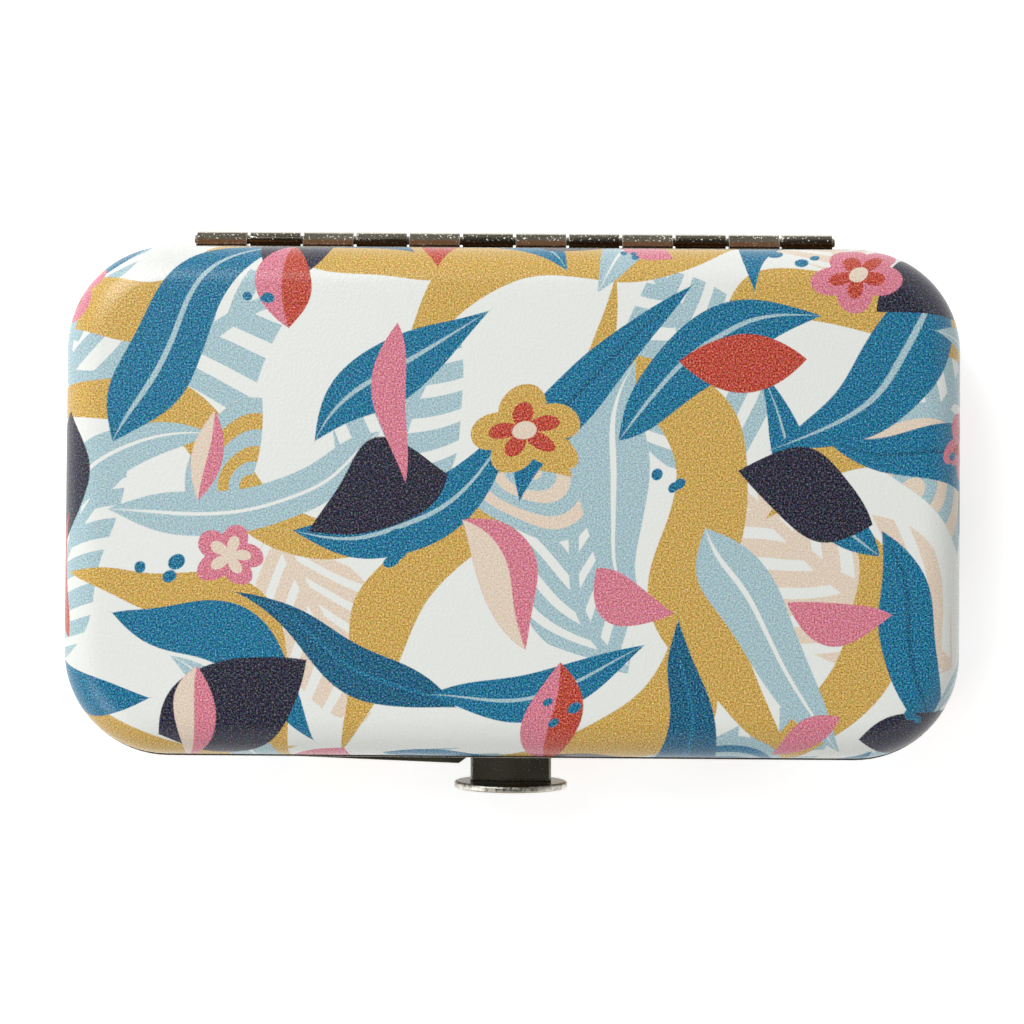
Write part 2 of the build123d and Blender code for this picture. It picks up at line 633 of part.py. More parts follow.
with BuildPart() as scissors_screw:
    with BuildSketch(Plane.XY.offset(SCISSORS_Z)):
        with Locations((PIVOT_X, SCISSORS_Y)):
            Circle(SCREW_RADIUS)
    extrude(amount=2 * HALF_THICKNESS)
    with BuildSketch(Plane.XY.offset(scissors_top_z)):
        with Locations((PIVOT_X, SCISSORS_Y)):
            Circle(SCREW_HEAD_RADIUS)
    extrude(amount=SCREW_HEAD_HEIGHT)
    with BuildSketch(Plane.XY.offset(scissors_top_z + SCREW_HEAD_HEIGHT)):
        with Locations((PIVOT_X, SCISSORS_Y)):
            Rectangle(3 * SCREW_HEAD_RADIUS, SCREW_SLOT_WIDTH, rotation=35)
    extrude(amount=-SCREW_SLOT_DEPTH, mode=Mode.SUBTRACT)
scissors_screw.part.label = "scissors_screw"
export_step(scissors_screw.part, "parts/scissors_screw.step")

# Nail clipper: two sprung jaws riveted at the rear, and the lever folded down on top
clipper_plane = Plane.XZ.offset(-CLIPPER_CENTER[1])
jaw_x = CLIPPER_CENTER[0] - CLIPPER_LENGTH / 2
clipper_rear_x = CLIPPER_CENTER[0] + CLIPPER_LENGTH / 2
lower_top_z = CLIPPER_Z + CLIPPER_SHEET
cut_z = lower_top_z + JAW_HEIGHT
upper_jaw_z = lower_top_z + CLIPPER_RISE
lever_z = upper_jaw_z + CLIPPER_SHEET + LEVER_LIFT
lever_top_z = lever_z + CLIPPER_SHEET
tail_z = lower_top_z + CLIPPER_SHEET + LEVER_TAIL_LIFT
tip_z = lower_top_z + CLIPPER_SHEET + LEVER_TIP_LIFT
post_x = jaw_x + POST_FROM_JAW
clipper_rivet_x = clipper_rear_x - CLIPPER_RIVET_FROM_REAR


def clipper_leaf(points):
    """Side profile made as wide as the clipper, with the corners of its plan rounded."""
    with BuildSketch(clipper_plane) as profile:
        with BuildLine():
            Polyline(*points, close=True)
        make_face()
    extrude(profile.sketch, amount=CLIPPER_WIDTH / 2, both=True)
    with BuildSketch(Plane.XY) as profile:
        with Locations(CLIPPER_CENTER):
            RectangleRounded(CLIPPER_LENGTH, CLIPPER_WIDTH, CLIPPER_CORNER)
    extrude(profile.sketch, amount=CASE_HEIGHT, mode=Mode.INTERSECT)


def vertical_hole(x, y, radius):
    """Hole right through along Z."""
    with BuildSketch(Plane.XY) as profile:
        with Locations((x, y)):
            Circle(radius)
    extrude(profile.sketch, amount=CASE_HEIGHT, mode=Mode.SUBTRACT)


with BuildPart() as clipper_lower_jaw:
    clipper_leaf(
        [
            (clipper_rear_x, CLIPPER_Z),
            (jaw_x + JAW_BEVEL, CLIPPER_Z),
            (jaw_x, CLIPPER_Z + JAW_BEVEL),
            (jaw_x, cut_z),
            (jaw_x + JAW_LIP, cut_z),
            (jaw_x + JAW_KNEE, lower_top_z + JAW_LIP),
            (jaw_x + JAW_ROOT, lower_top_z),
            (clipper_rear_x, lower_top_z),
        ]
    )
    vertical_hole(post_x, CLIPPER_CENTER[1], POST_RADIUS)
    vertical_hole(clipper_rivet_x, CLIPPER_CENTER[1], CLIPPER_RIVET_RADIUS)
clipper_lower_jaw.part.label = "clipper_lower_jaw"
export_step(clipper_lower_jaw.part, "parts/clipper_lower_jaw.step")

with BuildPart() as clipper_upper_jaw:
    clipper_leaf(
        [
            (clipper_rear_x, lower_top_z),
            (clipper_rear_x - LEAVES_JOINED, lower_top_z),
            (jaw_x + UPPER_BEND, upper_jaw_z),
            (jaw_x + UPPER_JAW_ROOT, upper_jaw_z - JAW_ROOT_DROP),
            (jaw_x + JAW_LIP, cut_z + JAW_GAP),
            (jaw_x, cut_z + JAW_GAP),
            (jaw_x, upper_jaw_z),
            (jaw_x + JAW_BEVEL, upper_jaw_z + CLIPPER_SHEET),
            (jaw_x + UPPER_BEND, upper_jaw_z + CLIPPER_SHEET),
            (clipper_rear_x - LEAVES_JOINED, lower_top_z + CLIPPER_SHEET),
            (clipper_rear_x, lower_top_z + CLIPPER_SHEET),
        ]
    )
    vertical_hole(post_x, CLIPPER_CENTER[1], POST_RADIUS)
    vertical_hole(clipper_rivet_x, CLIPPER_CENTER[1], CLIPPER_RIVET_RADIUS)
clipper_upper_jaw.part.label = "clipper_upper_jaw"
export_step(clipper_upper_jaw.part, "parts/clipper_upper_jaw.step")

with BuildPart() as clipper_lever:
    with BuildSketch(clipper_plane):
        with BuildLine():
            Polyline(
                (jaw_x + LEVER_START, lever_z),
                (jaw_x + LEVER_FLAT_END, lever_z),
                (clipper_rear_x - LEVER_TAIL, tail_z),
                (clipper_rear_x - LEVER_TIP_INSET, tip_z),
                (clipper_rear_x - LEVER_TIP_INSET, tip_z + CLIPPER_SHEET),
                (clipper_rear_x - LEVER_TAIL, tail_z + CLIPPER_SHEET),
                (jaw_x + LEVER_FLAT_END, lever_top_z),
                (jaw_x + LEVER_START, lever_top_z),
                close=True,
            )
        make_face()
    extrude(amount=LEVER_WIDTH / 2, both=True)
    fillet(clipper_lever.edges().filter_by(Axis.Z), LEVER_EDGE_ROUND)
    vertical_hole(post_x, CLIPPER_CENTER[1], POST_RADIUS)
clipper_lever.part.label = "clipper_lever"
export_step(clipper_lever.part, "parts/clipper_lever.step")

with BuildPart() as clipper_post:
    with BuildSketch(Plane.XY.offset(CLIPPER_Z)):
        with Locations((post_x, CLIPPER_CENTER[1])):
            Circle(POST_RADIUS)
    extrude(amount=lever_top_z - CLIPPER_Z)
    with BuildSketch(Plane.XY.offset(lever_top_z)):
        with Locations((post_x, CLIPPER_CENTER[1])):
            Circle(POST_HEAD_RADIUS)
    extrude(amount=POST_HEAD_HEIGHT)
    chamfer(clipper_post.edges().sort_by(Axis.Z)[-1], POST_HEAD_HEIGHT / 2)
clipper_post.part.label = "clipper_post"
export_step(clipper_post.part, "parts/clipper_post.step")

with BuildPart() as clipper_rivet:
    with BuildSketch(Plane.XY.offset(CLIPPER_Z)):
        with Locations((clipper_rivet_x, CLIPPER_CENTER[1])):
            Circle(CLIPPER_RIVET_RADIUS)
    extrude(amount=2 * CLIPPER_SHEET + CLIPPER_RIVET_HEAD)
    chamfer(clipper_rivet.edges().sort_by(Axis.Z)[-1], CLIPPER_RIVET_HEAD / 2)
clipper_rivet.part.label = "clipper_rivet"
export_step(clipper_rivet.part, "parts/clipper_rivet.step")


# Tweezers: two bowed arms, welded together at the rear end
def tweezers_plan():
    """Plan of both arms: full width behind, tapering to a narrow tip."""
    half_length = TWEEZERS_LENGTH / 2
    with BuildLine() as border:
        Polyline(
            (half_length, TWEEZERS_Y - TWEEZERS_WIDTH / 2),
            (-half_length / 4, TWEEZERS_Y - TWEEZERS_WIDTH / 2),
            (-half_length, TWEEZERS_Y - TWEEZERS_TIP_WIDTH / 2),
            (-half_length + 1.0, TWEEZERS_Y + TWEEZERS_TIP_WIDTH / 2),
            (-half_length / 4, TWEEZERS_Y + TWEEZERS_WIDTH / 2),
            (half_length, TWEEZERS_Y + TWEEZERS_WIDTH / 2),
            close=True,
        )
    make_face(border.edges())
    fillet(vertices().group_by(Axis.X)[-1], TWEEZERS_WIDTH / 2 - 0.6)


def tweezers_arm(side):
    """One arm: the upper one (+1) or the lower one (-1) of the pair."""
    half_length = TWEEZERS_LENGTH / 2
    weld_z = TWEEZERS_MID_Z
    tip_z = TWEEZERS_MID_Z + side * TWEEZERS_TIP_OPENING
    bow_z = TWEEZERS_MID_Z + side * TWEEZERS_BOW
    sheet = side * TWEEZERS_SHEET
    with BuildSketch(Plane.XZ.offset(-TWEEZERS_Y)) as profile:
        with BuildLine():
            Line((half_length, weld_z), (TWEEZERS_WELD_X, weld_z))
            Spline(
                (TWEEZERS_WELD_X, weld_z),
                (0, bow_z),
                (-half_length, tip_z),
                tangents=[(-1, 0), (-1, -0.09 * side)],
            )
            Line((-half_length, tip_z), (-half_length, tip_z + sheet))
            Spline(
                (-half_length, tip_z + sheet),
                (0, bow_z + sheet),
                (TWEEZERS_WELD_X, weld_z + sheet),
                tangents=[(1, 0.09 * side), (1, 0)],
            )
            Line((TWEEZERS_WELD_X, weld_z + sheet), (half_length, weld_z + sheet))
            Line((half_length, weld_z + sheet), (half_length, weld_z))
        make_face()
    extrude(profile.sketch, amount=TWEEZERS_WIDTH / 2, both=True)
    with BuildSketch(Plane.XY) as profile:
        tweezers_plan()
    extrude(profile.sketch, amount=CASE_HEIGHT, mode=Mode.INTERSECT)


with BuildPart() as tweezers_arm_lower:
    tweezers_arm(-1)
tweezers_arm_lower.part.label = "tweezers_arm_lower"
export_step(tweezers_arm_lower.part, "parts/tweezers_arm_lower.step")

with BuildPart() as tweezers_arm_upper:
    tweezers_arm(1)
tweezers_arm_upper.part.label = "tweezers_arm_upper"
export_step(tweezers_arm_upper.part, "parts/tweezers_arm_upper.step")


# Nail file: steel blade with a pointed tip, its tang held in a moulded handle
def file_blade_plan():
    """Plan of the file's blade and tang."""
    with BuildLine() as border:
        Polyline(
            (FILE_TANG_X, FILE_Y - FILE_WIDTH / 2),
            (FILE_TIP_X + FILE_TIP_LENGTH, FILE_Y - FILE_WIDTH / 2),
            (FILE_TIP_X, FILE_Y - FILE_TIP_WIDTH / 2),
            (FILE_TIP_X, FILE_Y + FILE_TIP_WIDTH / 2),
            (FILE_TIP_X + FILE_TIP_LENGTH, FILE_Y + FILE_WIDTH / 2),
            (FILE_TANG_X, FILE_Y + FILE_WIDTH / 2),
            close=True,
        )
    make_face(border.edges())


with BuildPart() as file_blade:
    with BuildSketch(Plane.XY.offset(FILE_Z)):
        file_blade_plan()
    extrude(amount=FILE_THICKNESS)
file_blade.part.label = "file_blade"
export_step(file_blade.part, "parts/file_blade.step")

with BuildPart() as file_handle:
    with BuildSketch(Plane.XY.offset(HANDLE_Z)):
        with Locations(((HANDLE_START_X + HANDLE_END_X) / 2, FILE_Y)):
            RectangleRounded(HANDLE_END_X - HANDLE_START_X, HANDLE_WIDTH, HANDLE_WIDTH / 2 - 0.1)
    extrude(amount=HANDLE_THICKNESS)
    fillet(file_handle.edges().filter_by(Plane.XY), HANDLE_ROUND)
    with BuildSketch(Plane.XY.offset(FILE_Z)):
        file_blade_plan()
    extrude(amount=FILE_THICKNESS, mode=Mode.SUBTRACT)
file_handle.part.label = "file_handle"
export_step(file_handle.part, "parts/file_handle.step")


# Tool tray: flocked foam block with a fitted pocket for each implement
def pocket(floor_z):
    """Cut the pending sketch, drawn on the pocket's floor, up to the tray's top."""
    extrude(amount=TRAY_TOP_Z + 0.1 - floor_z, mode=Mode.SUBTRACT)


with BuildPart() as tool_tray:
    rolled_block(tool_tray, BASE, LINING_INSET, TRAY_TOP_Z)
    cut_ring(LINING_INSET, FRAME_SHEET, SPLIT_Z - SPLIT_GAP / 2 - FRAME_HEIGHT, TRAY_TOP_Z)
    for side in (1, -1):
        for plan in (blade_plan, shank_plan):
            with BuildSketch(Plane.XY.offset(SCISSORS_Z)):
                plan(side)
                offset(amount=POCKET_CLEARANCE)
            pocket(SCISSORS_Z)
        with BuildSketch(Plane.XY.offset(SCISSORS_Z)):
            loop_plan(side, POCKET_CLEARANCE)
        pocket(SCISSORS_Z)
    with BuildSketch(Plane.XY.offset(CLIPPER_Z)):
        with Locations(CLIPPER_CENTER):
            RectangleRounded(
                CLIPPER_LENGTH + 2 * POCKET_CLEARANCE,
                CLIPPER_WIDTH + 2 * POCKET_CLEARANCE,
                CLIPPER_CORNER + POCKET_CLEARANCE,
            )
    pocket(CLIPPER_Z)
    with BuildSketch(Plane.XY.offset(TWEEZERS_FLOOR_Z)):
        tweezers_plan()
        offset(amount=POCKET_CLEARANCE)
    pocket(TWEEZERS_FLOOR_Z)
    with BuildSketch(Plane.XY.offset(FILE_Z)):
        file_blade_plan()
        offset(amount=POCKET_CLEARANCE)
    pocket(FILE_Z)
    with BuildSketch(Plane.XY.offset(HANDLE_Z)):
        with Locations(((HANDLE_START_X + HANDLE_END_X) / 2, FILE_Y)):
            RectangleRounded(
                HANDLE_END_X - HANDLE_START_X + 2 * POCKET_CLEARANCE,
                HANDLE_WIDTH + 2 * POCKET_CLEARANCE,
                HANDLE_WIDTH / 2,
            )
    pocket(HANDLE_Z)
    with BuildSketch(Plane.XY.offset(SCOOP_FLOOR_Z)):
        with Locations(SCOOP_CENTER):
            RectangleRounded(SCOOP_LENGTH, SCOOP_WIDTH, SCOOP_WIDTH / 2 - 0.1)
    pocket(SCOOP_FLOOR_Z)
    with BuildSketch(Plane.XY.offset(WELL_FLOOR_Z)):
        with Locations(WELL_CENTER):
            RectangleRounded(WELL_LENGTH, WELL_WIDTH, WELL_RADIUS)
    pocket(WELL_FLOOR_Z)
    half_bay = LATCH_BAY_WIDTH / 2
    cut_box(
        -half_bay, half_bay, -CASE_WIDTH / 2, LATCH_BAY_REAR_Y, LATCH_BAY_FLOOR_Z, TRAY_TOP_Z + 0.1
    )
tool_tray.part.label = "tool_tray"
export_step(tool_tray.part, "parts/tool_tray.step")
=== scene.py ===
"""Looks of a manicure set case: printed leatherette, black nickel fittings, flocked tray, steel tools."""

import json
import math
import random

import bpy
from mathutils import Matrix, Vector


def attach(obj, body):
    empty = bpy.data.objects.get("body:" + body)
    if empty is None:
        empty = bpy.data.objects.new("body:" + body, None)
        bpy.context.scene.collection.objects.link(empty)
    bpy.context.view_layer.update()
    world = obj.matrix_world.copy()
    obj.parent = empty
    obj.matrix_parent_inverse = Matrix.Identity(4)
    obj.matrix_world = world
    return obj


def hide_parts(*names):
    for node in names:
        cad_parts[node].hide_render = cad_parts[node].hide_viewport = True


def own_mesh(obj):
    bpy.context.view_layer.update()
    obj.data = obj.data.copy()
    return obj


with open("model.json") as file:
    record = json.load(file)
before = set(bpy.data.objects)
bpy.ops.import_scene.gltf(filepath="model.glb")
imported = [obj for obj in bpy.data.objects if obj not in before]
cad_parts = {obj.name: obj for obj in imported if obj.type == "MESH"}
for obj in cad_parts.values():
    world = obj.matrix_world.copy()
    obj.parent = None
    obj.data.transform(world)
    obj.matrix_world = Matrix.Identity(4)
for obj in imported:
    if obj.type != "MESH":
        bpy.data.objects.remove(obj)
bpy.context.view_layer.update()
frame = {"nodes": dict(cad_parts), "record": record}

MM = 0.001

# Case sizes in millimetres, as in the solids; only the base cover ends lower, under the latch tongue
CASE_LENGTH = 112.5
CASE_WIDTH = 64.0
CASE_HEIGHT = 21.0
CORNER_RADIUS = 13.0
EDGE_ROLL = 5.0
COVER_THICKNESS = 0.8
LID_RIM_Z = 10.95
BASE_RIM_Z = 9.15
CROWN = 0.45
HINGE_Y = 33.5
HINGE_Z = 10.5
BUTTON_WIDTH = 14.4
BUTTON_HEIGHT = 7.0
TONGUE_Z = 9.7

# Mesh of the covers, in millimetres and degrees
MESH_STEP = 1.6
CORNER_INSETS = (6.5, 8.0, 9.6, 11.3, CORNER_RADIUS)
ROLL_STEPS = 12
WALL_STEPS = 6
SHARP_EDGE = 40

# Print inks
GROUND = "#EEF0EB"
TEAL = "#0A7297"
DEEP_TEAL = "#075E80"
PALE_BLUE = "#ABC7CE"
MUSTARD = "#D1AA56"
PINK = "#DA8092"
RED = "#BF4733"
NAVY = "#242338"
BEIGE = "#E8D6C2"

# Print sizes in millimetres
PRINT_LENGTH = 134.0
PRINT_WIDTH = 84.0
PATCH_COLUMNS = 5
PATCH_ROWS = 3
INK_EDGE = 0.13
PRINT_DRIFT = 6.0
DRIFT_REACH = 0.35
ROW_SPACING = 0.87
WAVE_TURNS = 3.6
LAYOUT_SEED = 41

# Grain of the leatherette in millimetres: pebbles, wrinkles and the dots that the ink breaks into
GRAIN = 0.3
WRINKLE = 0.55
SHADE_DOT = 0.2
TINT_DOT = 0.17
DISPLAY_GAMMA = 2.2

# Plates of the fittings: light and dark of the plate, and the colour of the painted glints and bright edges
NICKEL = ("#857F70", "#6C6758", "#E6E3D8")
# Darker copy of the nickel for the knuckles: painted shade
SHADED_KNUCKLE_NICKEL = ("#645F54", "#514D42", "#E6E3D8")
ZINC = ("#C9C9C4", "#A9A9A6", "#E4E4E0")
TIN = ("#B4B6B8", "#8F9194", "#D8DADB")
# Painted brown reflection on the knuckles' side towards the covers
PAINTED_BROWN_REFLECTION = "#624127"

# Table, light and camera: places, sizes and distances in metres, lens in millimetres, angles in degrees
TABLE_HALF = 1.5
TABLE_GLOW = 0.62
CEILING_LEVEL = 0.15
FILL_LEVEL = 0.4
CAMERA_TARGET = (-0.05 * MM, -1.24 * MM, 13.0 * MM)
CAMERA_DISTANCE = 400 * MM
CAMERA_LEAN_RIGHT = 0.59
CAMERA_LEAN_FRONT = 1.5
CAMERA_ROLL = 0.41
CAMERA_SENSOR = 36.0
CAMERA_LENS = 110.8


def linear(code):
    """sRGB hex as linear RGBA."""
    channels = [int(code[i : i + 2], 16) / 255 for i in (1, 3, 5)]
    return [c / 12.92 if c <= 0.04045 else ((c + 0.055) / 1.055) ** 2.4 for c in channels] + [1.0]


def add(tree, kind, *values, sockets=None, **settings):
    """Add a node with its settings; values go to its inputs in order or by name.

    A value may be a number, a colour, a socket, or a node, whose first output in use is then taken.
    """
    node = tree.nodes.new("ShaderNode" + kind)
    for name, value in settings.items():
        setattr(node, name, value)
    places = list(zip((socket for socket in node.inputs if socket.enabled), values))
    places += [(node.inputs[name], value) for name, value in (sockets or {}).items()]
    for socket, value in places:
        if isinstance(value, bpy.types.Node):
            value = next(output for output in value.outputs if output.enabled)
        if isinstance(value, bpy.types.NodeSocket):
            tree.links.new(value, socket)
        else:
            socket.default_value = value
    return node


def finish(name, make):
    """Material whose surface is the shader that make(tree) returns."""
    material = bpy.data.materials.new(name)
    material.use_nodes = True
    material.node_tree.nodes.clear()
    add(material.node_tree, "OutputMaterial", make(material.node_tree))
    return material


# ---------------------------------------------------------------- print motifs
def start_motif(name, numbers, inks):
    """Start a motif: it takes the print so far and its own axes; gives places along and across itself."""
    group = bpy.data.node_groups.new(name, "ShaderNodeTree")
    sockets = [("Below", "Color")]
    sockets += [(key, "Vector") for key in ("Spot", "Centre", "Along", "Across")]
    sockets += [(key, "Float") for key in (*numbers, "Crispness")]
    sockets += [(key, "Color") for key in inks]
    for key, kind in sockets:
        group.interface.new_socket(key, in_out="INPUT", socket_type="NodeSocket" + kind)
    group.interface.new_socket("Colour", in_out="OUTPUT", socket_type="NodeSocketColor")
    given = group.nodes.new("NodeGroupInput").outputs
    away = add(group, "VectorMath", given["Spot"], given["Centre"], operation="SUBTRACT")
    along = add(group, "VectorMath", away, given["Along"], operation="DOT_PRODUCT")
    across = add(group, "VectorMath", away, given["Across"], operation="DOT_PRODUCT")
    return group, given, along, across


def lay_inks(group, given, layers):
    """Lay each ink over what is below it, through the softened edge of its shape, and hand the result on."""
    colour = given["Below"]
    for shape, key in layers:
        mask = add(group, "Math", shape, given["Crispness"], 0.5, operation="MULTIPLY_ADD")
        colour = add(group, "Mix", mask, colour, given[key], data_type="RGBA")
    result = group.nodes.new("NodeGroupOutput")
    group.links.new(colour.outputs["Result"], result.inputs[0])
    return group


def distance_out(group, along, across):
    """Distance from the middle of a motif."""
    square = add(group, "Math", across, across, operation="MULTIPLY")
    square = add(group, "Math", along, along, square, operation="MULTIPLY_ADD")
    return add(group, "Math", square, operation="SQRT")


def bent_blade(group, given, along, across):
    """Bent middle line of a blade, and half its width along it, to a point at both ends."""
    square = add(group, "Math", along, along, operation="MULTIPLY")
    line = add(group, "Math", square, given["Bend"], across, operation="MULTIPLY_ADD")
    width = add(group, "Math", 1.0, square, operation="SUBTRACT")
    return line, width


def blade_motif(name, numbers, inks):
    """Pointed, bent blade: a waving ribbon, a leaf with a rib, or a petal with one half shaded."""
    group, given, along, across = start_motif(name, numbers, inks)
    line, width = bent_blade(group, given, along, across)
    if "Wave" in numbers:
        turn = add(group, "Math", along, WAVE_TURNS, operation="MULTIPLY")
        swing = add(group, "Math", turn, operation="SINE")
        line = add(group, "Math", swing, given["Wave"], line, operation="MULTIPLY_ADD")
    aside = add(group, "Math", line, operation="ABSOLUTE")
    if "Skew" in numbers:
        skew = add(group, "Math", along, given["Skew"], 1.0, operation="MULTIPLY_ADD")
        skew = add(group, "Math", skew, 0.2, operation="MAXIMUM")
        width = add(group, "Math", width, skew, operation="MULTIPLY")
    inside = add(group, "Math", width, aside, operation="SUBTRACT")
    layers = [(inside, "Face")]
    if "Shade" in inks:
        layers.append((add(group, "Math", inside, line, operation="MINIMUM"), "Shade"))
    if "Rib" in inks:
        rib = add(group, "Math", width, 0.08, operation="MULTIPLY")
        layers.append((add(group, "Math", rib, aside, operation="SUBTRACT"), "Rib"))
    return lay_inks(group, given, layers)


def frond_motif():
    """Blade cut into slanting leaflets along a stem."""
    group, given, along, across = start_motif("frond motif", ("Bend", "Leaflets"), ("Face",))
    line, width = bent_blade(group, given, along, across)
    aside = add(group, "Math", line, operation="ABSOLUTE")
    inside = add(group, "Math", width, aside, operation="SUBTRACT")
    slant = add(group, "Math", aside, -0.55, along, operation="MULTIPLY_ADD")
    slant = add(group, "Math", slant, given["Leaflets"], operation="MULTIPLY")
    comb = add(group, "Math", slant, operation="SINE")
    leaflets = add(group, "Math", comb, 0.16, 0.05, operation="MULTIPLY_ADD")
    stem = add(group, "Math", 0.1, aside, operation="SUBTRACT")
    cut = add(group, "Math", leaflets, stem, operation="MAXIMUM")
    return lay_inks(group, given, [(add(group, "Math", inside, cut, operation="MINIMUM"), "Face")])


def blossom_motif():
    """Round blossom with scalloped petals, a throat and a core."""
    group, given, along, across = start_motif("blossom motif", ("Petals",), ("Face", "Throat", "Core"))
    radius = distance_out(group, along, across)
    angle = add(group, "Math", across, along, operation="ARCTAN2")
    lobe = add(group, "Math", angle, given["Petals"], operation="MULTIPLY")
    lobe = add(group, "Math", lobe, operation="COSINE")
    lobe = add(group, "Math", lobe, operation="ABSOLUTE")
    layers = []
    for spread, start, key in ((0.34, 0.66, "Face"), (0.42, 0.2, "Throat"), (0.0, 0.2, "Core")):
        rim = add(group, "Math", lobe, spread, start, operation="MULTIPLY_ADD")
        layers.append((add(group, "Math", rim, radius, operation="SUBTRACT"), key))
    return lay_inks(group, given, layers)


def fan_motif():
    """Half-round fan with concentric bands."""
    group, given, along, across = start_motif("fan motif", ("Bands",), ("Face", "Band"))
    radius = distance_out(group, along, across)
    disc = add(group, "Math", 1.0, radius, operation="SUBTRACT")
    inside = add(group, "Math", disc, across, operation="MINIMUM")
    band = add(group, "Math", radius, given["Bands"], operation="MULTIPLY")
    band = add(group, "Math", band, operation="SINE")
    band = add(group, "Math", band, 0.12, operation="MULTIPLY")
    band = add(group, "Math", band, inside, operation="MINIMUM")
    return lay_inks(group, given, [(inside, "Face"), (band, "Band")])


def dot_motif():
    """Round dot."""
    group, given, along, across = start_motif("dot motif", (), ("Face",))
    inside = add(group, "Math", 1.0, distance_out(group, along, across), operation="SUBTRACT")
    return lay_inks(group, given, [(inside, "Face")])


# Kinds of motif, by the names that the layout gives
MOTIFS = {
    "frond": frond_motif(),
    "ribbon": blade_motif("ribbon motif", ("Bend", "Wave"), ("Face",)),
    "fan": fan_motif(),
    "leaf": blade_motif("leaf motif", ("Bend", "Skew"), ("Face", "Rib")),
    "petal": blade_motif("petal motif", ("Bend", "Skew"), ("Face", "Shade")),
    "blossom": blossom_motif(),
    "dot": dot_motif(),
}


# ---------------------------------------------------------------- print layout
def scattered(rng, spacing, jitter):
    """Centres all over the unrolled cover, spacing millimetres apart and moved by up to jitter of that."""
    rows = math.ceil(PRINT_WIDTH / (spacing * ROW_SPACING))
    columns = math.ceil(PRINT_LENGTH / spacing)
    for row in range(rows):
        for column in range(columns):
            x = (column - (columns - 1) / 2 + (row % 2) * 0.5 - 0.25) * spacing
            y = (row - (rows - 1) / 2) * spacing * ROW_SPACING
            x += rng.uniform(-jitter, jitter) * spacing
            y += rng.uniform(-jitter, jitter) * spacing
            yield x, y


def flow(x, y):
    """Direction in degrees that the leaves follow across the print."""
    return 38 + 46 * math.sin(x / 19) + 34 * math.cos(y / 14 + x / 31)


def print_layout():
    """Motifs from the bottom layer up: kind, centre, direction, half sizes, inks and numbers."""
    rng = random.Random(LAYOUT_SEED)
    layout = []

    def place(kind, x, y, degrees, length, width, inks, **numbers):
        layout.append((kind, x, y, degrees, length, width, inks, numbers))

    # Pale fronds, under everything
    for x, y in scattered(rng, 31, 0.18):
        place(
            "frond", x, y, flow(x, y) + rng.uniform(-60, 60), rng.uniform(13, 18), rng.uniform(7, 10),
            {"Face": rng.choice((PALE_BLUE, PALE_BLUE, PALE_BLUE, BEIGE))},
            Bend=rng.uniform(-0.5, 0.5), Leaflets=rng.uniform(17, 24),
        )
    # Long mustard ribbons
    for x, y in scattered(rng, 34, 0.2):
        place(
            "ribbon", x, y, flow(x, y) + rng.uniform(-30, 30), rng.uniform(27, 38), rng.uniform(3.6, 5.2),
            {"Face": MUSTARD}, Bend=rng.uniform(-0.6, 0.6), Wave=rng.uniform(0.9, 1.7),
        )
    # Banded fans
    for x, y in scattered(rng, 46, 0.22):
        radius = rng.uniform(8, 11)
        place(
            "fan", x, y, rng.uniform(0, 360), radius, radius,
            {"Face": PALE_BLUE, "Band": rng.choice((MUSTARD, TEAL, BEIGE))}, Bands=18.8,
        )
    # Leaves that follow the flow, most of them teal
    for x, y in scattered(rng, 22, 0.24):
        leaf, rib = rng.choice(
            ((TEAL, PALE_BLUE), (TEAL, DEEP_TEAL), (DEEP_TEAL, TEAL), (TEAL, TEAL), (PALE_BLUE, GROUND))
        )
        place(
            "leaf", x, y, flow(x, y) + rng.uniform(-45, 45), rng.uniform(12, 19), rng.uniform(2.8, 4.8),
            {"Face": leaf, "Rib": rib}, Bend=rng.uniform(-1.3, 1.3), Skew=rng.uniform(-0.45, 0.45),
        )
    # Broad navy leaves, turned any way
    for x, y in scattered(rng, 40, 0.2):
        place(
            "leaf", x, y, rng.uniform(0, 360), rng.uniform(8, 11), rng.uniform(4.6, 5.8),
            {"Face": NAVY, "Rib": NAVY}, Bend=rng.uniform(0.1, 0.4), Skew=0.3,
        )
    # Blossoms, and loose petals across the flow
    for x, y in scattered(rng, 25, 0.22):
        if rng.random() < 0.3:
            radius = rng.uniform(4.2, 6.5)
            petal, throat = rng.choice(((PINK, RED), (RED, PINK), (MUSTARD, RED), (PINK, BEIGE)))
            place(
                "blossom", x, y, rng.uniform(0, 72), radius, radius,
                {"Face": petal, "Throat": throat, "Core": BEIGE}, Petals=2.5,
            )
        else:
            petal, shade = rng.choice(((PINK, PINK), (RED, RED), (RED, PINK), (PINK, BEIGE)))
            place(
                "petal", x, y, flow(x, y) + rng.uniform(40, 140), rng.uniform(4.5, 9), rng.uniform(1.8, 3.8),
                {"Face": petal, "Shade": shade}, Bend=rng.uniform(-0.7, 0.7), Skew=rng.uniform(-0.4, 0.4),
            )
    # Dots in threes, on top
    for x, y in scattered(rng, 34, 0.25):
        for _ in range(3):
            radius = rng.uniform(0.5, 0.95)
            dot_x = x + rng.uniform(-2.6, 2.6)
            dot_y = y + rng.uniform(-2.6, 2.6)
            place("dot", dot_x, dot_y, 0, radius, radius, {"Face": TEAL})
    return layout


LAYOUT = print_layout()


def patch_number(u, v):
    """Number of the print patch that holds a place on the unrolled cover."""
    column = min(max(int((u / PRINT_LENGTH + 0.5) * PATCH_COLUMNS), 0), PATCH_COLUMNS - 1)
    row = min(max(int((v / PRINT_WIDTH + 0.5) * PATCH_ROWS), 0), PATCH_ROWS - 1)
    return row * PATCH_COLUMNS + column


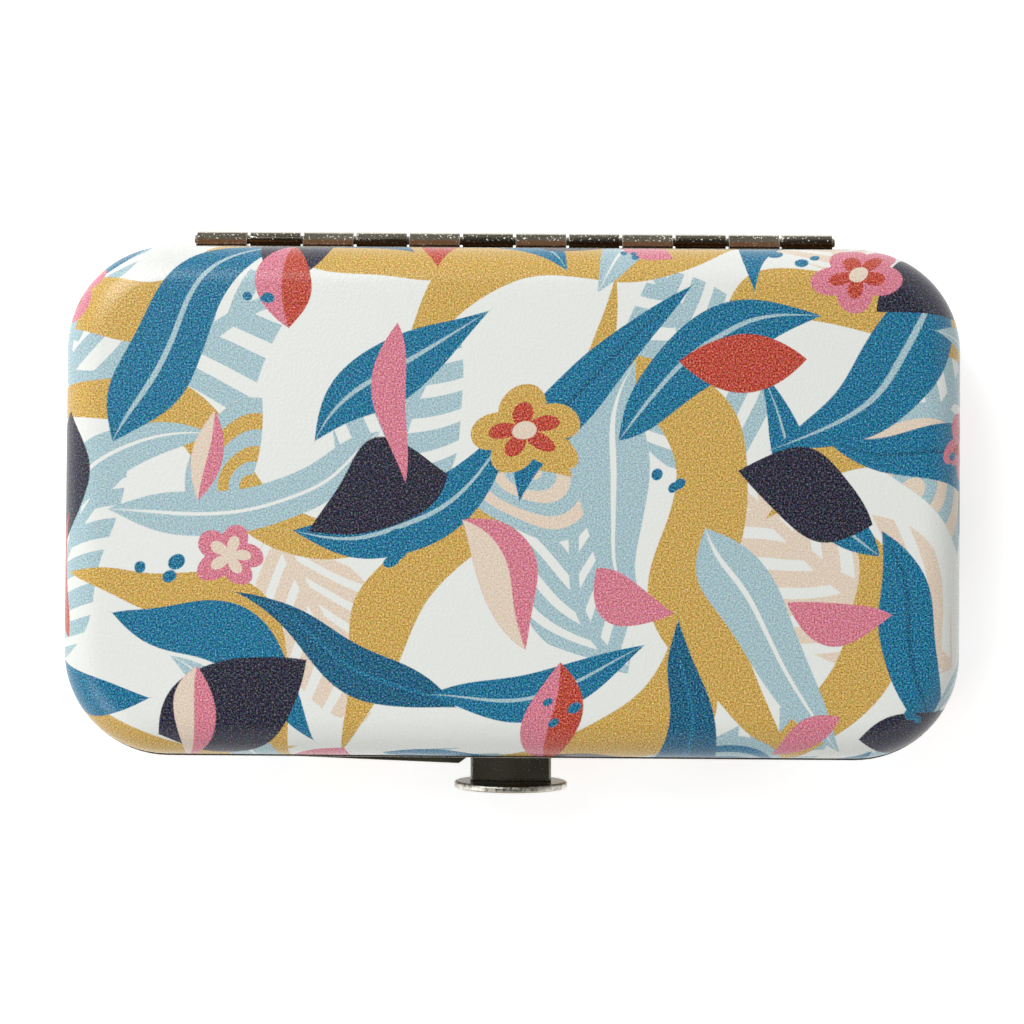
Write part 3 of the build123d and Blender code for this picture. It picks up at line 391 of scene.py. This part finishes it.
def reaches(number, x, y, degrees, length, width, numbers):
    """Whether a motif reaches a patch, judged at points all over the motif."""
    column, row = number % PATCH_COLUMNS, number // PATCH_COLUMNS
    left, right = ((column + end) / PATCH_COLUMNS * PRINT_LENGTH - PRINT_LENGTH / 2 for end in (0, 1))
    bottom, top = ((row + end) / PATCH_ROWS * PRINT_WIDTH - PRINT_WIDTH / 2 for end in (0, 1))
    turn = math.radians(degrees)
    spare = MESH_STEP + PRINT_DRIFT * DRIFT_REACH
    for step in range(-12, 13):
        s = step / 12
        middle = -numbers.get("Bend", 0) * s * s - numbers.get("Wave", 0) * math.sin(WAVE_TURNS * s)
        for t in (-1.2, -0.6, 0, 0.6, 1.2):
            along, across = s * length, (middle + t) * width
            spot_x = x + along * math.cos(turn) - across * math.sin(turn)
            spot_y = y + along * math.sin(turn) + across * math.cos(turn)
            beside = left - spare < spot_x < right + spare
            if beside and bottom - spare < spot_y < top + spare:
                return True
    return False


def print_colour(tree, spot, number):
    """Botanical print on a pale ground, as far as it reaches one patch; returns the colour."""
    colour = linear(GROUND)
    for kind, x, y, degrees, length, width, inks, numbers in LAYOUT:
        if not reaches(number, x, y, degrees, length, width, numbers):
            continue
        turn = math.radians(degrees)
        places = {
            "Below": colour,
            "Spot": spot,
            "Centre": (x, y, 0),
            "Along": (math.cos(turn) / length, math.sin(turn) / length, 0),
            "Across": (-math.sin(turn) / width, math.cos(turn) / width, 0),
            "Crispness": min(length, width) / INK_EDGE,
            **numbers,
        }
        places.update({key: linear(code) for key, code in inks.items()})
        colour = add(tree, "Group", node_tree=MOTIFS[kind], sockets=places)
    return colour


# ---------------------------------------------------------------- materials
def printed_leatherette(number):
    """Polyurethane leatherette, embossed and then transfer printed: a satin film with a fine pebble grain.

    The ink breaks up on the grain, so printed places look speckled and the bare pale ground does not.
    """

    def make(tree):
        spot = add(tree, "Attribute", attribute_name="print_mm").outputs["Vector"]
        # Hand-drawn lines: the whole print wanders a little, over about 20 mm
        drift = add(tree, "TexNoise", spot, 0.055, 0.0, noise_dimensions="2D").outputs["Color"]
        drift = add(tree, "VectorMath", drift, (0.5, 0.5, 0.5), operation="SUBTRACT")
        drawn = add(tree, "VectorMath", drift, (PRINT_DRIFT, PRINT_DRIFT, 0), spot, operation="MULTIPLY_ADD")
        colour = print_colour(tree, drawn, number)
        # Grain about 0.3 mm across, a little coarser than the real film's so that it shows
        grain = add(tree, "TexNoise", spot, 1 / GRAIN, 1.0, noise_dimensions="2D").outputs[0]
        wrinkle = add(tree, "TexVoronoi", spot, 1 / WRINKLE, voronoi_dimensions="2D").outputs["Distance"]
        depth = add(tree, "VectorMath", colour, linear(GROUND)[:3], operation="DISTANCE")
        depth = add(tree, "MapRange", depth, 0.03, 1.2, 0.0, 1.0)
        # Where there is ink, the pale film shows on the high grain, and the tint changes from dot to dot
        bare = add(tree, "MapRange", grain, 0.52, 0.8, 0.0, 0.06)
        bare = add(tree, "Math", bare, depth, operation="MULTIPLY")
        inked = add(tree, "Mix", bare, colour, linear(GROUND), data_type="RGBA")
        shade = add(tree, "TexNoise", spot, 1 / SHADE_DOT, 0.0, noise_dimensions="2D").outputs[0]
        tint = add(tree, "TexNoise", spot, 1 / TINT_DOT, 0.0, noise_dimensions="2D").outputs["Color"]
        tint = add(tree, "Mix", 0.4, shade, tint, data_type="RGBA")
        tint = add(tree, "VectorMath", tint, (0.5, 0.5, 0.5), operation="SUBTRACT")
        amount = add(tree, "Math", depth, 0.95, operation="MULTIPLY")
        tint = add(tree, "VectorMath", tint, sockets={"Scale": amount}, operation="SCALE")
        inked = add(tree, "Gamma", inked, 1 / DISPLAY_GAMMA)
        inked = add(tree, "VectorMath", inked, tint, operation="ADD")
        inked = add(tree, "VectorMath", inked, (0, 0, 0), operation="MAXIMUM")
        inked = add(tree, "Gamma", inked, DISPLAY_GAMMA)
        height = add(tree, "Math", wrinkle, 0.6, grain, operation="MULTIPLY_ADD")
        bump = add(tree, "Bump", sockets={"Strength": 0.45, "Distance": 0.05 * MM, "Height": height})
        rough = add(tree, "MapRange", grain, 0.3, 0.7, 0.24, 0.36)
        sockets = {"Base Color": inked, "Roughness": rough, "IOR": 1.5, "Normal": bump}
        return add(tree, "BsdfPrincipled", sockets=sockets)

    return finish(f"printed polyurethane leatherette {number + 1}", make)


def knitted_backing():
    """Knitted polyester backing of the leatherette, seen on its cut edge: matt, pale, with 0.5 mm loops."""

    def make(tree):
        place = add(tree, "TexCoord").outputs["Object"]
        loops = add(tree, "TexVoronoi", place, 1 / (0.5 * MM)).outputs["Distance"]
        tone = add(tree, "Mix", loops, linear("#D9D6CC"), linear("#B5B1A6"), data_type="RGBA")
        bump = add(tree, "Bump", sockets={"Strength": 0.4, "Distance": 0.05 * MM, "Height": loops})
        return add(tree, "BsdfPrincipled", sockets={"Base Color": tone, "Roughness": 0.85, "Normal": bump})

    return finish("knitted polyester backing", make)


def plated_sheet(name, plate, roughness, pit, edge, glint_share, painted_marks=None):
    """Plated sheet steel: rolled sheet with fine pits under the plate, with painted glints at the pits and
    bright edges that are partly wear and partly painted highlight.

    pit and edge are the sizes of the pits and of the bright edges in millimetres; the share of glints is how
    many painted glints show at the pits and how bright they are, and the last argument adds the painted
    reflection and highlights that one piece has too.
    """
    light, dark, bright = (linear(code) for code in plate)

    def make(tree):
        place = add(tree, "TexCoord").outputs["Object"]
        cloud = add(tree, "TexNoise", place, 1 / (5 * MM), 3.0).outputs[0]
        pits = add(tree, "TexNoise", place, 1 / (pit * MM), 2.0).outputs[0]
        tone = add(tree, "MapRange", cloud, 0.35, 0.65, 0.0, 1.0)
        tone = add(tree, "Mix", tone, dark, light, data_type="RGBA")
        # Painted glints: the high pits show as bright specks
        painted_glint = add(tree, "MapRange", pits, 0.7 - 0.08 * glint_share, 0.76 - 0.08 * glint_share, 0.0, glint_share)
        # Bright edges where the rounded normal turns from the true one: partly rubbed wear, partly painted
        # highlight
        rounded = add(tree, "Bevel", sockets={"Radius": edge * MM}, samples=6)
        true = add(tree, "NewGeometry").outputs["True Normal"]
        along = add(tree, "VectorMath", rounded, true, operation="DOT_PRODUCT")
        rubbed = add(tree, "MapRange", along, 0.985, 0.9, 0.0, 1.0)
        patchy = add(tree, "MapRange", pits, 0.38, 0.58, 0.45, 0.95)
        rubbed = add(tree, "Math", rubbed, patchy, operation="MULTIPLY")
        bare = add(tree, "Math", painted_glint, rubbed, operation="MAXIMUM")
        # Painted reflection and highlights that single pieces add
        if painted_marks:
            tone, bare = painted_marks(tree, place, tone, bare)
        tone = add(tree, "Mix", bare, tone, bright, data_type="RGBA")
        rough = add(tree, "MapRange", cloud, 0.3, 0.7, roughness * 0.8, roughness * 1.25)
        rough = add(tree, "Mix", bare, rough, 0.45, data_type="FLOAT")
        pitted = {"Strength": 0.2, "Distance": 0.02 * MM, "Height": pits, "Normal": rounded}
        bump = add(tree, "Bump", sockets=pitted)
        sockets = {"Base Color": tone, "Metallic": 1.0, "Roughness": rough, "Normal": bump}
        return add(tree, "BsdfPrincipled", sockets=sockets)

    return finish(name, make)


def knuckle_reflection_and_highlight(tree, place, tone, bare):
    """Painted brown reflection on the knuckles' side towards the covers, with fewer glints there; a painted
    highlight line along their upper rear.
    """
    axes = add(tree, "SeparateXYZ", place).outputs
    # Painted brown reflection towards the covers
    brown_reflection = add(tree, "MapRange", axes["Y"], (HINGE_Y + 0.05) * MM, (HINGE_Y - 0.25) * MM, 0.0, 0.9)
    kept = add(tree, "MapRange", brown_reflection, 0.0, 0.9, 1.0, 0.25)
    tone = add(tree, "Mix", brown_reflection, tone, linear(PAINTED_BROWN_REFLECTION), data_type="RGBA")
    bare = add(tree, "Math", bare, kept, operation="MULTIPLY")
    # Painted highlight line along the upper rear of the knuckles
    rear = add(tree, "MapRange", axes["Y"], (HINGE_Y + 0.74) * MM, (HINGE_Y + 0.88) * MM, 0.0, 0.8)
    upper = add(tree, "MapRange", axes["Z"], (HINGE_Z + 0.15) * MM, (HINGE_Z + 0.4) * MM, 0.0, 1.0)
    line = add(tree, "Math", rear, upper, operation="MULTIPLY")
    return tone, add(tree, "Math", bare, line, operation="MAXIMUM")


def painted_rim_highlight(tree, place, tone, bare):
    """Painted highlight round the rim of the oval thumb plate, broken into patches 0.5 mm across."""
    middle = add(tree, "VectorMath", place, (0, 0, -TONGUE_Z * MM), operation="ADD")
    stretch = (2 / BUTTON_WIDTH / MM, 0, 2 / BUTTON_HEIGHT / MM)
    oval = add(tree, "VectorMath", middle, stretch, operation="MULTIPLY")
    radius = add(tree, "VectorMath", oval, operation="LENGTH").outputs["Value"]
    # Painted highlight on the outer rim of the oval
    rim = add(tree, "MapRange", radius, 0.93, 0.97, 0.0, 1.0)
    patches = add(tree, "TexNoise", place, 1 / (0.5 * MM), 2.0).outputs[0]
    patches = add(tree, "MapRange", patches, 0.35, 0.6, 0.25, 0.95)
    rim = add(tree, "Math", rim, patches, operation="MULTIPLY")
    return tone, add(tree, "Math", bare, rim, operation="MAXIMUM")


def ground_steel(name, light, dark, roughness, scratch, edge):
    """Steel ground and polished along its length: hairline scratches and softened edges, in millimetres."""

    def make(tree):
        place = add(tree, "TexCoord").outputs["Object"]
        drawn = add(tree, "Mapping", place, sockets={"Scale": (1 / 24, 1, 1)})
        lines = add(tree, "TexNoise", drawn, 1 / (scratch * MM), 2.0).outputs[0]
        cloud = add(tree, "TexNoise", place, 1 / (9 * MM), 2.0).outputs[0]
        tone = add(tree, "Mix", lines, linear(dark), linear(light), data_type="RGBA")
        rough = add(tree, "MapRange", cloud, 0.3, 0.7, roughness * 0.8, roughness * 1.3)
        rounded = add(tree, "Bevel", sockets={"Radius": edge * MM}, samples=4)
        scratched = {"Strength": 0.15, "Distance": 0.01 * MM, "Height": lines, "Normal": rounded}
        bump = add(tree, "Bump", sockets=scratched)
        sockets = {"Base Color": tone, "Metallic": 1.0, "Roughness": rough, "Normal": bump}
        return add(tree, "BsdfPrincipled", sockets=sockets)

    return finish(name, make)


def bonded_grit():
    """Diamond grit bonded to a steel file: sparkling grains, drawn 0.3 mm across so that they show."""

    def make(tree):
        place = add(tree, "TexCoord").outputs["Object"]
        grit = add(tree, "TexVoronoi", place, 1 / (0.3 * MM)).outputs["Distance"]
        tone = add(tree, "Mix", grit, linear("#D0D2D3"), linear("#7F8386"), data_type="RGBA")
        bump = add(tree, "Bump", sockets={"Strength": 0.8, "Distance": 0.1 * MM, "Height": grit})
        sockets = {"Base Color": tone, "Metallic": 1.0, "Roughness": 0.4, "Normal": bump}
        return add(tree, "BsdfPrincipled", sockets=sockets)

    return finish("diamond grit bonded to steel", make)


def flock(name, deep, raised):
    """Short nylon flock: matt, with a brushed nap and a soft sheen; fibres drawn 0.3 mm across to show."""

    def make(tree):
        place = add(tree, "TexCoord").outputs["Object"]
        nap = add(tree, "TexNoise", place, 1 / (0.3 * MM), 3.0).outputs[0]
        stroke = add(tree, "TexNoise", place, 1 / (12 * MM), 2.0).outputs[0]
        lie = add(tree, "Math", nap, stroke, operation="MULTIPLY")
        tone = add(tree, "MapRange", lie, 0.08, 0.42, 0.0, 1.0)
        tone = add(tree, "Mix", tone, linear(deep), linear(raised), data_type="RGBA")
        bump = add(tree, "Bump", sockets={"Strength": 0.7, "Distance": 0.12 * MM, "Height": nap})
        sockets = {"Base Color": tone, "Roughness": 0.95, "Normal": bump}
        sockets.update({"Sheen Weight": 0.4, "Sheen Roughness": 0.4, "Sheen Tint": linear("#A9BCCD")})
        return add(tree, "BsdfPrincipled", sockets=sockets)

    return finish(name, make)


def foam_wadding():
    """Open-cell polyurethane wadding: cream, with 0.6 mm cells."""

    def make(tree):
        place = add(tree, "TexCoord").outputs["Object"]
        cells = add(tree, "TexVoronoi", place, 1 / (0.6 * MM)).outputs["Distance"]
        tone = add(tree, "Mix", cells, linear("#C9C0A6"), linear("#EBE4CF"), data_type="RGBA")
        bump = add(tree, "Bump", sockets={"Strength": 0.5, "Distance": 0.1 * MM, "Height": cells})
        return add(tree, "BsdfPrincipled", sockets={"Base Color": tone, "Roughness": 0.9, "Normal": bump})

    return finish("open-cell polyurethane wadding", make)


def moulded_grip():
    """Moulded acrylic grip: deep teal and glossy, with faint flow marks."""

    def make(tree):
        place = add(tree, "TexCoord").outputs["Object"]
        marks = add(tree, "TexNoise", place, 1 / (7 * MM), 3.0, sockets={"Distortion": 1.2}).outputs[0]
        tone = add(tree, "Mix", marks, linear("#0B5670"), linear("#1F809E"), data_type="RGBA")
        rough = add(tree, "MapRange", marks, 0.3, 0.7, 0.14, 0.24)
        bump = add(tree, "Bump", sockets={"Strength": 0.08, "Distance": 0.1 * MM, "Height": marks})
        sockets = {"Base Color": tone, "Roughness": rough, "IOR": 1.49, "Normal": bump}
        return add(tree, "BsdfPrincipled", sockets=sockets)

    return finish("moulded acrylic grip", make)


# ---------------------------------------------------------------- leatherette covers
def mesh_lines(half_size):
    """Mesh lines across a cover: side, distance from the outline near it, and place along the middle."""
    quarter = math.pi / 2
    near = [EDGE_ROLL * (1 - math.cos(quarter * k / ROLL_STEPS)) for k in range(ROLL_STEPS + 1)]
    near += CORNER_INSETS
    straight = half_size - CORNER_RADIUS
    count = round(2 * straight / MESH_STEP)
    lines = [(-1, inset, None) for inset in near]
    lines += [(0, None, -straight + 2 * straight * k / count) for k in range(1, count)]
    return lines + [(1, inset, None) for inset in reversed(near)]


def crossing(line_x, line_y):
    """Plan place of a crossing of two mesh lines, its outward direction and its inset from the outline."""
    straight_x = CASE_LENGTH / 2 - CORNER_RADIUS
    straight_y = CASE_WIDTH / 2 - CORNER_RADIUS
    side_x, inset_x, place_x = line_x
    side_y, inset_y, place_y = line_y
    if inset_x is None and inset_y is None:
        return Vector((place_x, place_y)), Vector((0, 0)), CORNER_RADIUS
    if inset_y is None:
        edge_x = side_x * (straight_x + CORNER_RADIUS - inset_x)
        return Vector((edge_x, place_y)), Vector((side_x, 0)), inset_x
    if inset_x is None:
        edge_y = side_y * (straight_y + CORNER_RADIUS - inset_y)
        return Vector((place_x, edge_y)), Vector((0, side_y)), inset_y
    reach_x, reach_y = CORNER_RADIUS - inset_x, CORNER_RADIUS - inset_y
    reach = max(reach_x, reach_y)
    turn = 0.0 if reach == 0 else math.pi / 4 * min(reach_x, reach_y) / reach
    lean = (math.sin(turn), math.cos(turn)) if reach_y >= reach_x else (math.cos(turn), math.sin(turn))
    out = Vector((side_x * lean[0], side_y * lean[1]))
    centre = Vector((side_x * straight_x, side_y * straight_y))
    return centre + out * reach, out, CORNER_RADIUS - reach


def leatherette_cover(name, node, side, rim_z, materials):
    """Cover of one half: printed outside rolled over the edge, backing inside, and the cut rim between.

    side is 1 for the lid and -1 for the base, whose print is turned half round.
    """
    lines_x, lines_y = mesh_lines(CASE_LENGTH / 2), mesh_lines(CASE_WIDTH / 2)
    last_x, last_y = len(lines_x) - 1, len(lines_y) - 1
    loop = [(i, 0) for i in range(last_x)] + [(last_x, j) for j in range(last_y)]
    loop += [(i, last_y) for i in range(last_x, 0, -1)] + [(0, j) for j in range(last_y, 0, -1)]
    shoulder_z = CASE_HEIGHT - EDGE_ROLL if side > 0 else EDGE_ROLL
    verts, print_mm, faces = [], [], []

    def corner(plan, z, unrolled):
        verts.append((plan.x * MM, plan.y * MM, z * MM))
        print_mm.append((side * unrolled.x, side * unrolled.y, 0.0))
        return len(verts) - 1

    def cover_face(quad, flip):
        faces.append(quad[::-1] if flip else quad)

    def skin(depth, flip):
        """One surface, depth millimetres below the outside; gives the vertices of its rim."""
        roll = EDGE_ROLL - depth
        table = {}
        for i, line_x in enumerate(lines_x):
            for j, line_y in enumerate(lines_y):
                plan, out, inset = crossing(line_x, line_y)
                tuck = min(inset / EDGE_ROLL, 1.0)
                angle = math.asin(1 - tuck)
                pulled_in = depth * (1 - tuck)
                unrolled = plan + out * (EDGE_ROLL * (angle - 1 + tuck))
                crown = CROWN / 2 * ((plan.x / CASE_LENGTH * 2) ** 2 + (plan.y / CASE_WIDTH * 2) ** 2)
                rise = (roll - crown) * math.cos(angle)
                table[i, j] = corner(plan - out * pulled_in, shoulder_z + side * rise, unrolled)
        for i in range(last_x):
            for j in range(last_y):
                cover_face((table[i, j], table[i + 1, j], table[i + 1, j + 1], table[i, j + 1]), flip)
        ring = [table[key] for key in loop]
        for step in range(1, WALL_STEPS + 1):
            drop = abs(shoulder_z - rim_z) * step / WALL_STEPS
            lower = []
            for i, j in loop:
                plan, out, _ = crossing(lines_x[i], lines_y[j])
                unrolled = plan + out * (EDGE_ROLL * (math.pi / 2 - 1) + drop)
                lower.append(corner(plan - out * depth, shoulder_z - side * drop, unrolled))
            for k, vertex in enumerate(lower):
                after = (k + 1) % len(lower)
                cover_face((vertex, lower[after], ring[after], ring[k]), flip)
            ring = lower
        return ring

    outer_rim = skin(0.0, side < 0)
    slots = []
    for quad in faces:
        middle = [sum(print_mm[vertex][axis] for vertex in quad) / 4 for axis in (0, 1)]
        slots.append(1 + patch_number(*middle))
    inner_rim = skin(COVER_THICKNESS, side > 0)
    for k, vertex in enumerate(inner_rim):
        after = (k + 1) % len(inner_rim)
        cover_face((vertex, inner_rim[after], outer_rim[after], outer_rim[k]), side < 0)
    slots += [0] * (len(faces) - len(slots))

    mesh = bpy.data.meshes.new(name)
    mesh.from_pydata(verts, [], faces)
    print_places = mesh.attributes.new("print_mm", "FLOAT_VECTOR", "POINT")
    print_places.data.foreach_set("vector", [number for spot in print_mm for number in spot])
    for material in materials:
        mesh.materials.append(material)
    mesh.polygons.foreach_set("material_index", slots)
    mesh.polygons.foreach_set("use_smooth", [True] * len(slots))
    mesh.set_sharp_from_angle(angle=math.radians(SHARP_EDGE))
    cover = bpy.data.objects.new(name, mesh)
    bpy.context.scene.collection.objects.link(cover)
    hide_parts(node)
    return cover


# ---------------------------------------------------------------- flocked tray and lining
def flocked_form(name, node, material, voxel):
    """Flocked copy of a solid: its edges are softened as the flock and the foam under it soften them."""
    form = bpy.data.objects.new(name, frame["nodes"][node].data.copy())
    bpy.context.scene.collection.objects.link(form)
    remesh = form.modifiers.new("even mesh", "REMESH")
    remesh.mode = "VOXEL"
    remesh.voxel_size = voxel * MM
    smooth = form.modifiers.new("soft edges", "SMOOTH")
    smooth.factor = 0.5
    smooth.iterations = 5
    bpy.context.view_layer.update()
    evaluated = form.evaluated_get(bpy.context.evaluated_depsgraph_get())
    soft = bpy.data.meshes.new_from_object(evaluated)
    form.modifiers.clear()
    form.data = soft
    soft.materials.clear()
    soft.materials.append(material)
    soft.polygons.foreach_set("use_smooth", [True] * len(soft.polygons))
    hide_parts(node)
    return form


patches = range(PATCH_COLUMNS * PATCH_ROWS)
leatherette = [knitted_backing()] + [printed_leatherette(number) for number in patches]
lid_leatherette = leatherette_cover("lid_leatherette", "lid_cover", 1, LID_RIM_Z, leatherette)
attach(lid_leatherette, "lid")
base_leatherette = leatherette_cover("base_leatherette", "base_cover", -1, BASE_RIM_Z, leatherette)
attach(base_leatherette, "base")

card_flock = flock("nylon flock on card", "#0E1829", "#22344F")
foam_flock = flock("nylon flock on foam", "#0E1829", "#22344F")
lid_velour = flocked_form("lid_velour", "lid_lining", card_flock, 0.42)
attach(lid_velour, "lid")
flocked_tray = flocked_form("flocked_tray", "tool_tray", foam_flock, 0.45)
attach(flocked_tray, "base")

# ---------------------------------------------------------------- finishes of the solids
black_nickel = plated_sheet("black nickel plated sheet steel", NICKEL, 0.17, pit=0.2, edge=0.14, glint_share=0.4)
# Latch tongue: wide bright edges, partly wear and partly painted highlight
edge_highlight_nickel = plated_sheet(
    "black nickel plate rubbed at its edges", NICKEL, 0.17, pit=0.2, edge=0.6, glint_share=0.6
)
# Thumb plate: painted highlight round its rim
rim_highlight_nickel = plated_sheet(
    "black nickel plate with a painted highlight round its rim", NICKEL, 0.17, pit=0.2, edge=0.3, glint_share=0.4, painted_marks=painted_rim_highlight
)
# Knuckles: the nickel painted darker as shade, with a painted brown reflection and highlight line
shaded_knuckle_nickel = plated_sheet(
    "black nickel plate rolled into knuckles", SHADED_KNUCKLE_NICKEL, 0.2, pit=0.28, edge=0.2, glint_share=1.0,
    painted_marks=knuckle_reflection_and_highlight,
)
finish_by_slot = {
    "black_nickel_steel": black_nickel,
    "zinc_plated_steel": plated_sheet(
        "bright zinc plated sheet steel", ZINC, 0.26, pit=0.3, edge=0.12, glint_share=0.3
    ),
    "shell_steel": plated_sheet("tinned shell steel", TIN, 0.38, pit=0.4, edge=0.12, glint_share=0.2),
    "spring_steel": ground_steel("blued spring steel", "#8A8E94", "#5F646B", 0.25, scratch=0.2, edge=0.1),
    "polished_steel": ground_steel(
        "polished stainless steel", "#D6D8DA", "#B4B7BA", 0.16, scratch=0.12, edge=0.15
    ),
    "padding_foam": foam_wadding(),
    "handle_plastic": moulded_grip(),
}
finish_by_node = {
    "file_blade": bonded_grit(),
    "latch_tongue": edge_highlight_nickel,
    "button_plate": rim_highlight_nickel,
    "lid_hinge_leaf": shaded_knuckle_nickel,
    "base_hinge_leaf": shaded_knuckle_nickel,
}
for part in frame["record"]["subparts"]:
    node = part["node"]
    material = finish_by_node.get(node) or finish_by_slot.get(part["material_slot"])
    if material:
        for material_slot in frame["nodes"][node].material_slots:
            material_slot.link = "OBJECT"
            material_slot.material = material


# ---------------------------------------------------------------- leaf spring
def bowed_spring(material):
    """Leaf spring behind the tongue: it stays on its bracket."""
    spring = bpy.data.objects.new("bowed_spring", frame["nodes"]["latch_spring"].data.copy())
    bpy.context.scene.collection.objects.link(spring)
    spring.data.materials.clear()
    spring.data.materials.append(material)
    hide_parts("latch_spring")
    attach(spring, "base")
    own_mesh(spring)


bowed_spring(finish_by_slot["spring_steel"])


# ---------------------------------------------------------------- table, light and camera
def white_table(tree):
    """Matt white table top that the camera and reflections see as white, except in the object's shadow."""
    matt = add(tree, "BsdfDiffuse", linear("#F2F2F0"))
    glow = add(tree, "Emission", (1, 1, 1, 1), TABLE_GLOW)
    white = add(tree, "AddShader", matt, glow)
    return add(tree, "MixShader", seen_directly(tree), matt, white)


def seen_directly(tree):
    """1 for rays from the camera, a reflection or a see-through piece, otherwise 0."""
    path = add(tree, "LightPath").outputs
    seen = add(tree, "Math", path["Is Camera Ray"], path["Is Glossy Ray"], operation="MAXIMUM")
    return add(tree, "Math", seen, path["Is Transmission Ray"], operation="MAXIMUM")


floor_mesh = bpy.data.meshes.new("table_top")
table_corners = [(x * TABLE_HALF, y * TABLE_HALF, 0) for x, y in ((-1, -1), (1, -1), (1, 1), (-1, 1))]
floor_mesh.from_pydata(table_corners, [], [(0, 1, 2, 3)])
floor_mesh.materials.append(finish("matt white table top", white_table))
floor = bpy.data.objects.new("table_top", floor_mesh)
bpy.context.scene.collection.objects.link(floor)


def white_surround(tree):
    """White all round for the camera and reflections, which have a dim ceiling; soft fill on the case."""
    direction = add(tree, "TexCoord").outputs["Generated"]
    height = add(tree, "SeparateXYZ", direction).outputs["Z"]
    ceiling = add(tree, "MapRange", height, 0.55, 0.85, 1.0, CEILING_LEVEL)
    path = add(tree, "LightPath").outputs
    direct = add(tree, "Math", path["Is Camera Ray"], path["Is Transmission Ray"], operation="MAXIMUM")
    shown = add(tree, "Math", ceiling, direct, operation="MAXIMUM")
    strength = add(tree, "MapRange", seen_directly(tree), 0.0, 1.0, FILL_LEVEL, shown)
    return add(tree, "Background", (1, 1, 1, 1), strength)


studio = bpy.data.worlds.new("studio")
studio.use_nodes = True
studio.node_tree.nodes.clear()
add(studio.node_tree, "OutputWorld", white_surround(studio.node_tree))
bpy.context.scene.world = studio


def softbox(name, place, size, watts):
    """Square area lamp aimed at the middle of the case; place and size in metres."""
    lamp = bpy.data.lights.new(name, "AREA")
    lamp.size = size
    lamp.energy = watts
    box = bpy.data.objects.new(name, lamp)
    box.location = place
    aim = Vector((0, 0, 10 * MM)) - Vector(place)
    box.rotation_euler = aim.to_track_quat("-Z", "Y").to_euler()
    bpy.context.scene.collection.objects.link(box)


softbox("key_softbox", (-0.42, 0.48, 0.46), size=0.30, watts=1.65)
softbox("low_softbox", (-0.50, -0.38, 0.48), size=0.32, watts=1.0)
softbox("high_softbox", (-0.35, 0.45, 0.80), size=0.40, watts=3.3)


def studio_camera():
    """Camera almost straight above, leaning a little to the front and right, and turned a little."""
    lean_right, lean_front, roll = (
        math.radians(degrees) for degrees in (CAMERA_LEAN_RIGHT, CAMERA_LEAN_FRONT, CAMERA_ROLL)
    )
    towards = Vector((math.tan(lean_right), -math.tan(lean_front), 1.0)).normalized()
    right = Vector((0, 1, 0)).cross(towards).normalized()
    up = towards.cross(right)
    rolled_right = right * math.cos(roll) + up * math.sin(roll)
    rolled_up = up * math.cos(roll) - right * math.sin(roll)
    facing = Matrix((rolled_right, rolled_up, towards)).transposed().to_4x4()
    lens = bpy.data.cameras.new("studio_camera")
    lens.sensor_width = CAMERA_SENSOR
    lens.lens = CAMERA_LENS
    lens.clip_start = 0.01
    camera = bpy.data.objects.new("studio_camera", lens)
    camera.matrix_world = Matrix.Translation(Vector(CAMERA_TARGET) + towards * CAMERA_DISTANCE) @ facing
    bpy.context.scene.collection.objects.link(camera)
    bpy.context.scene.camera = camera


studio_camera()
bpy.context.scene.view_settings.view_transform = "Standard"
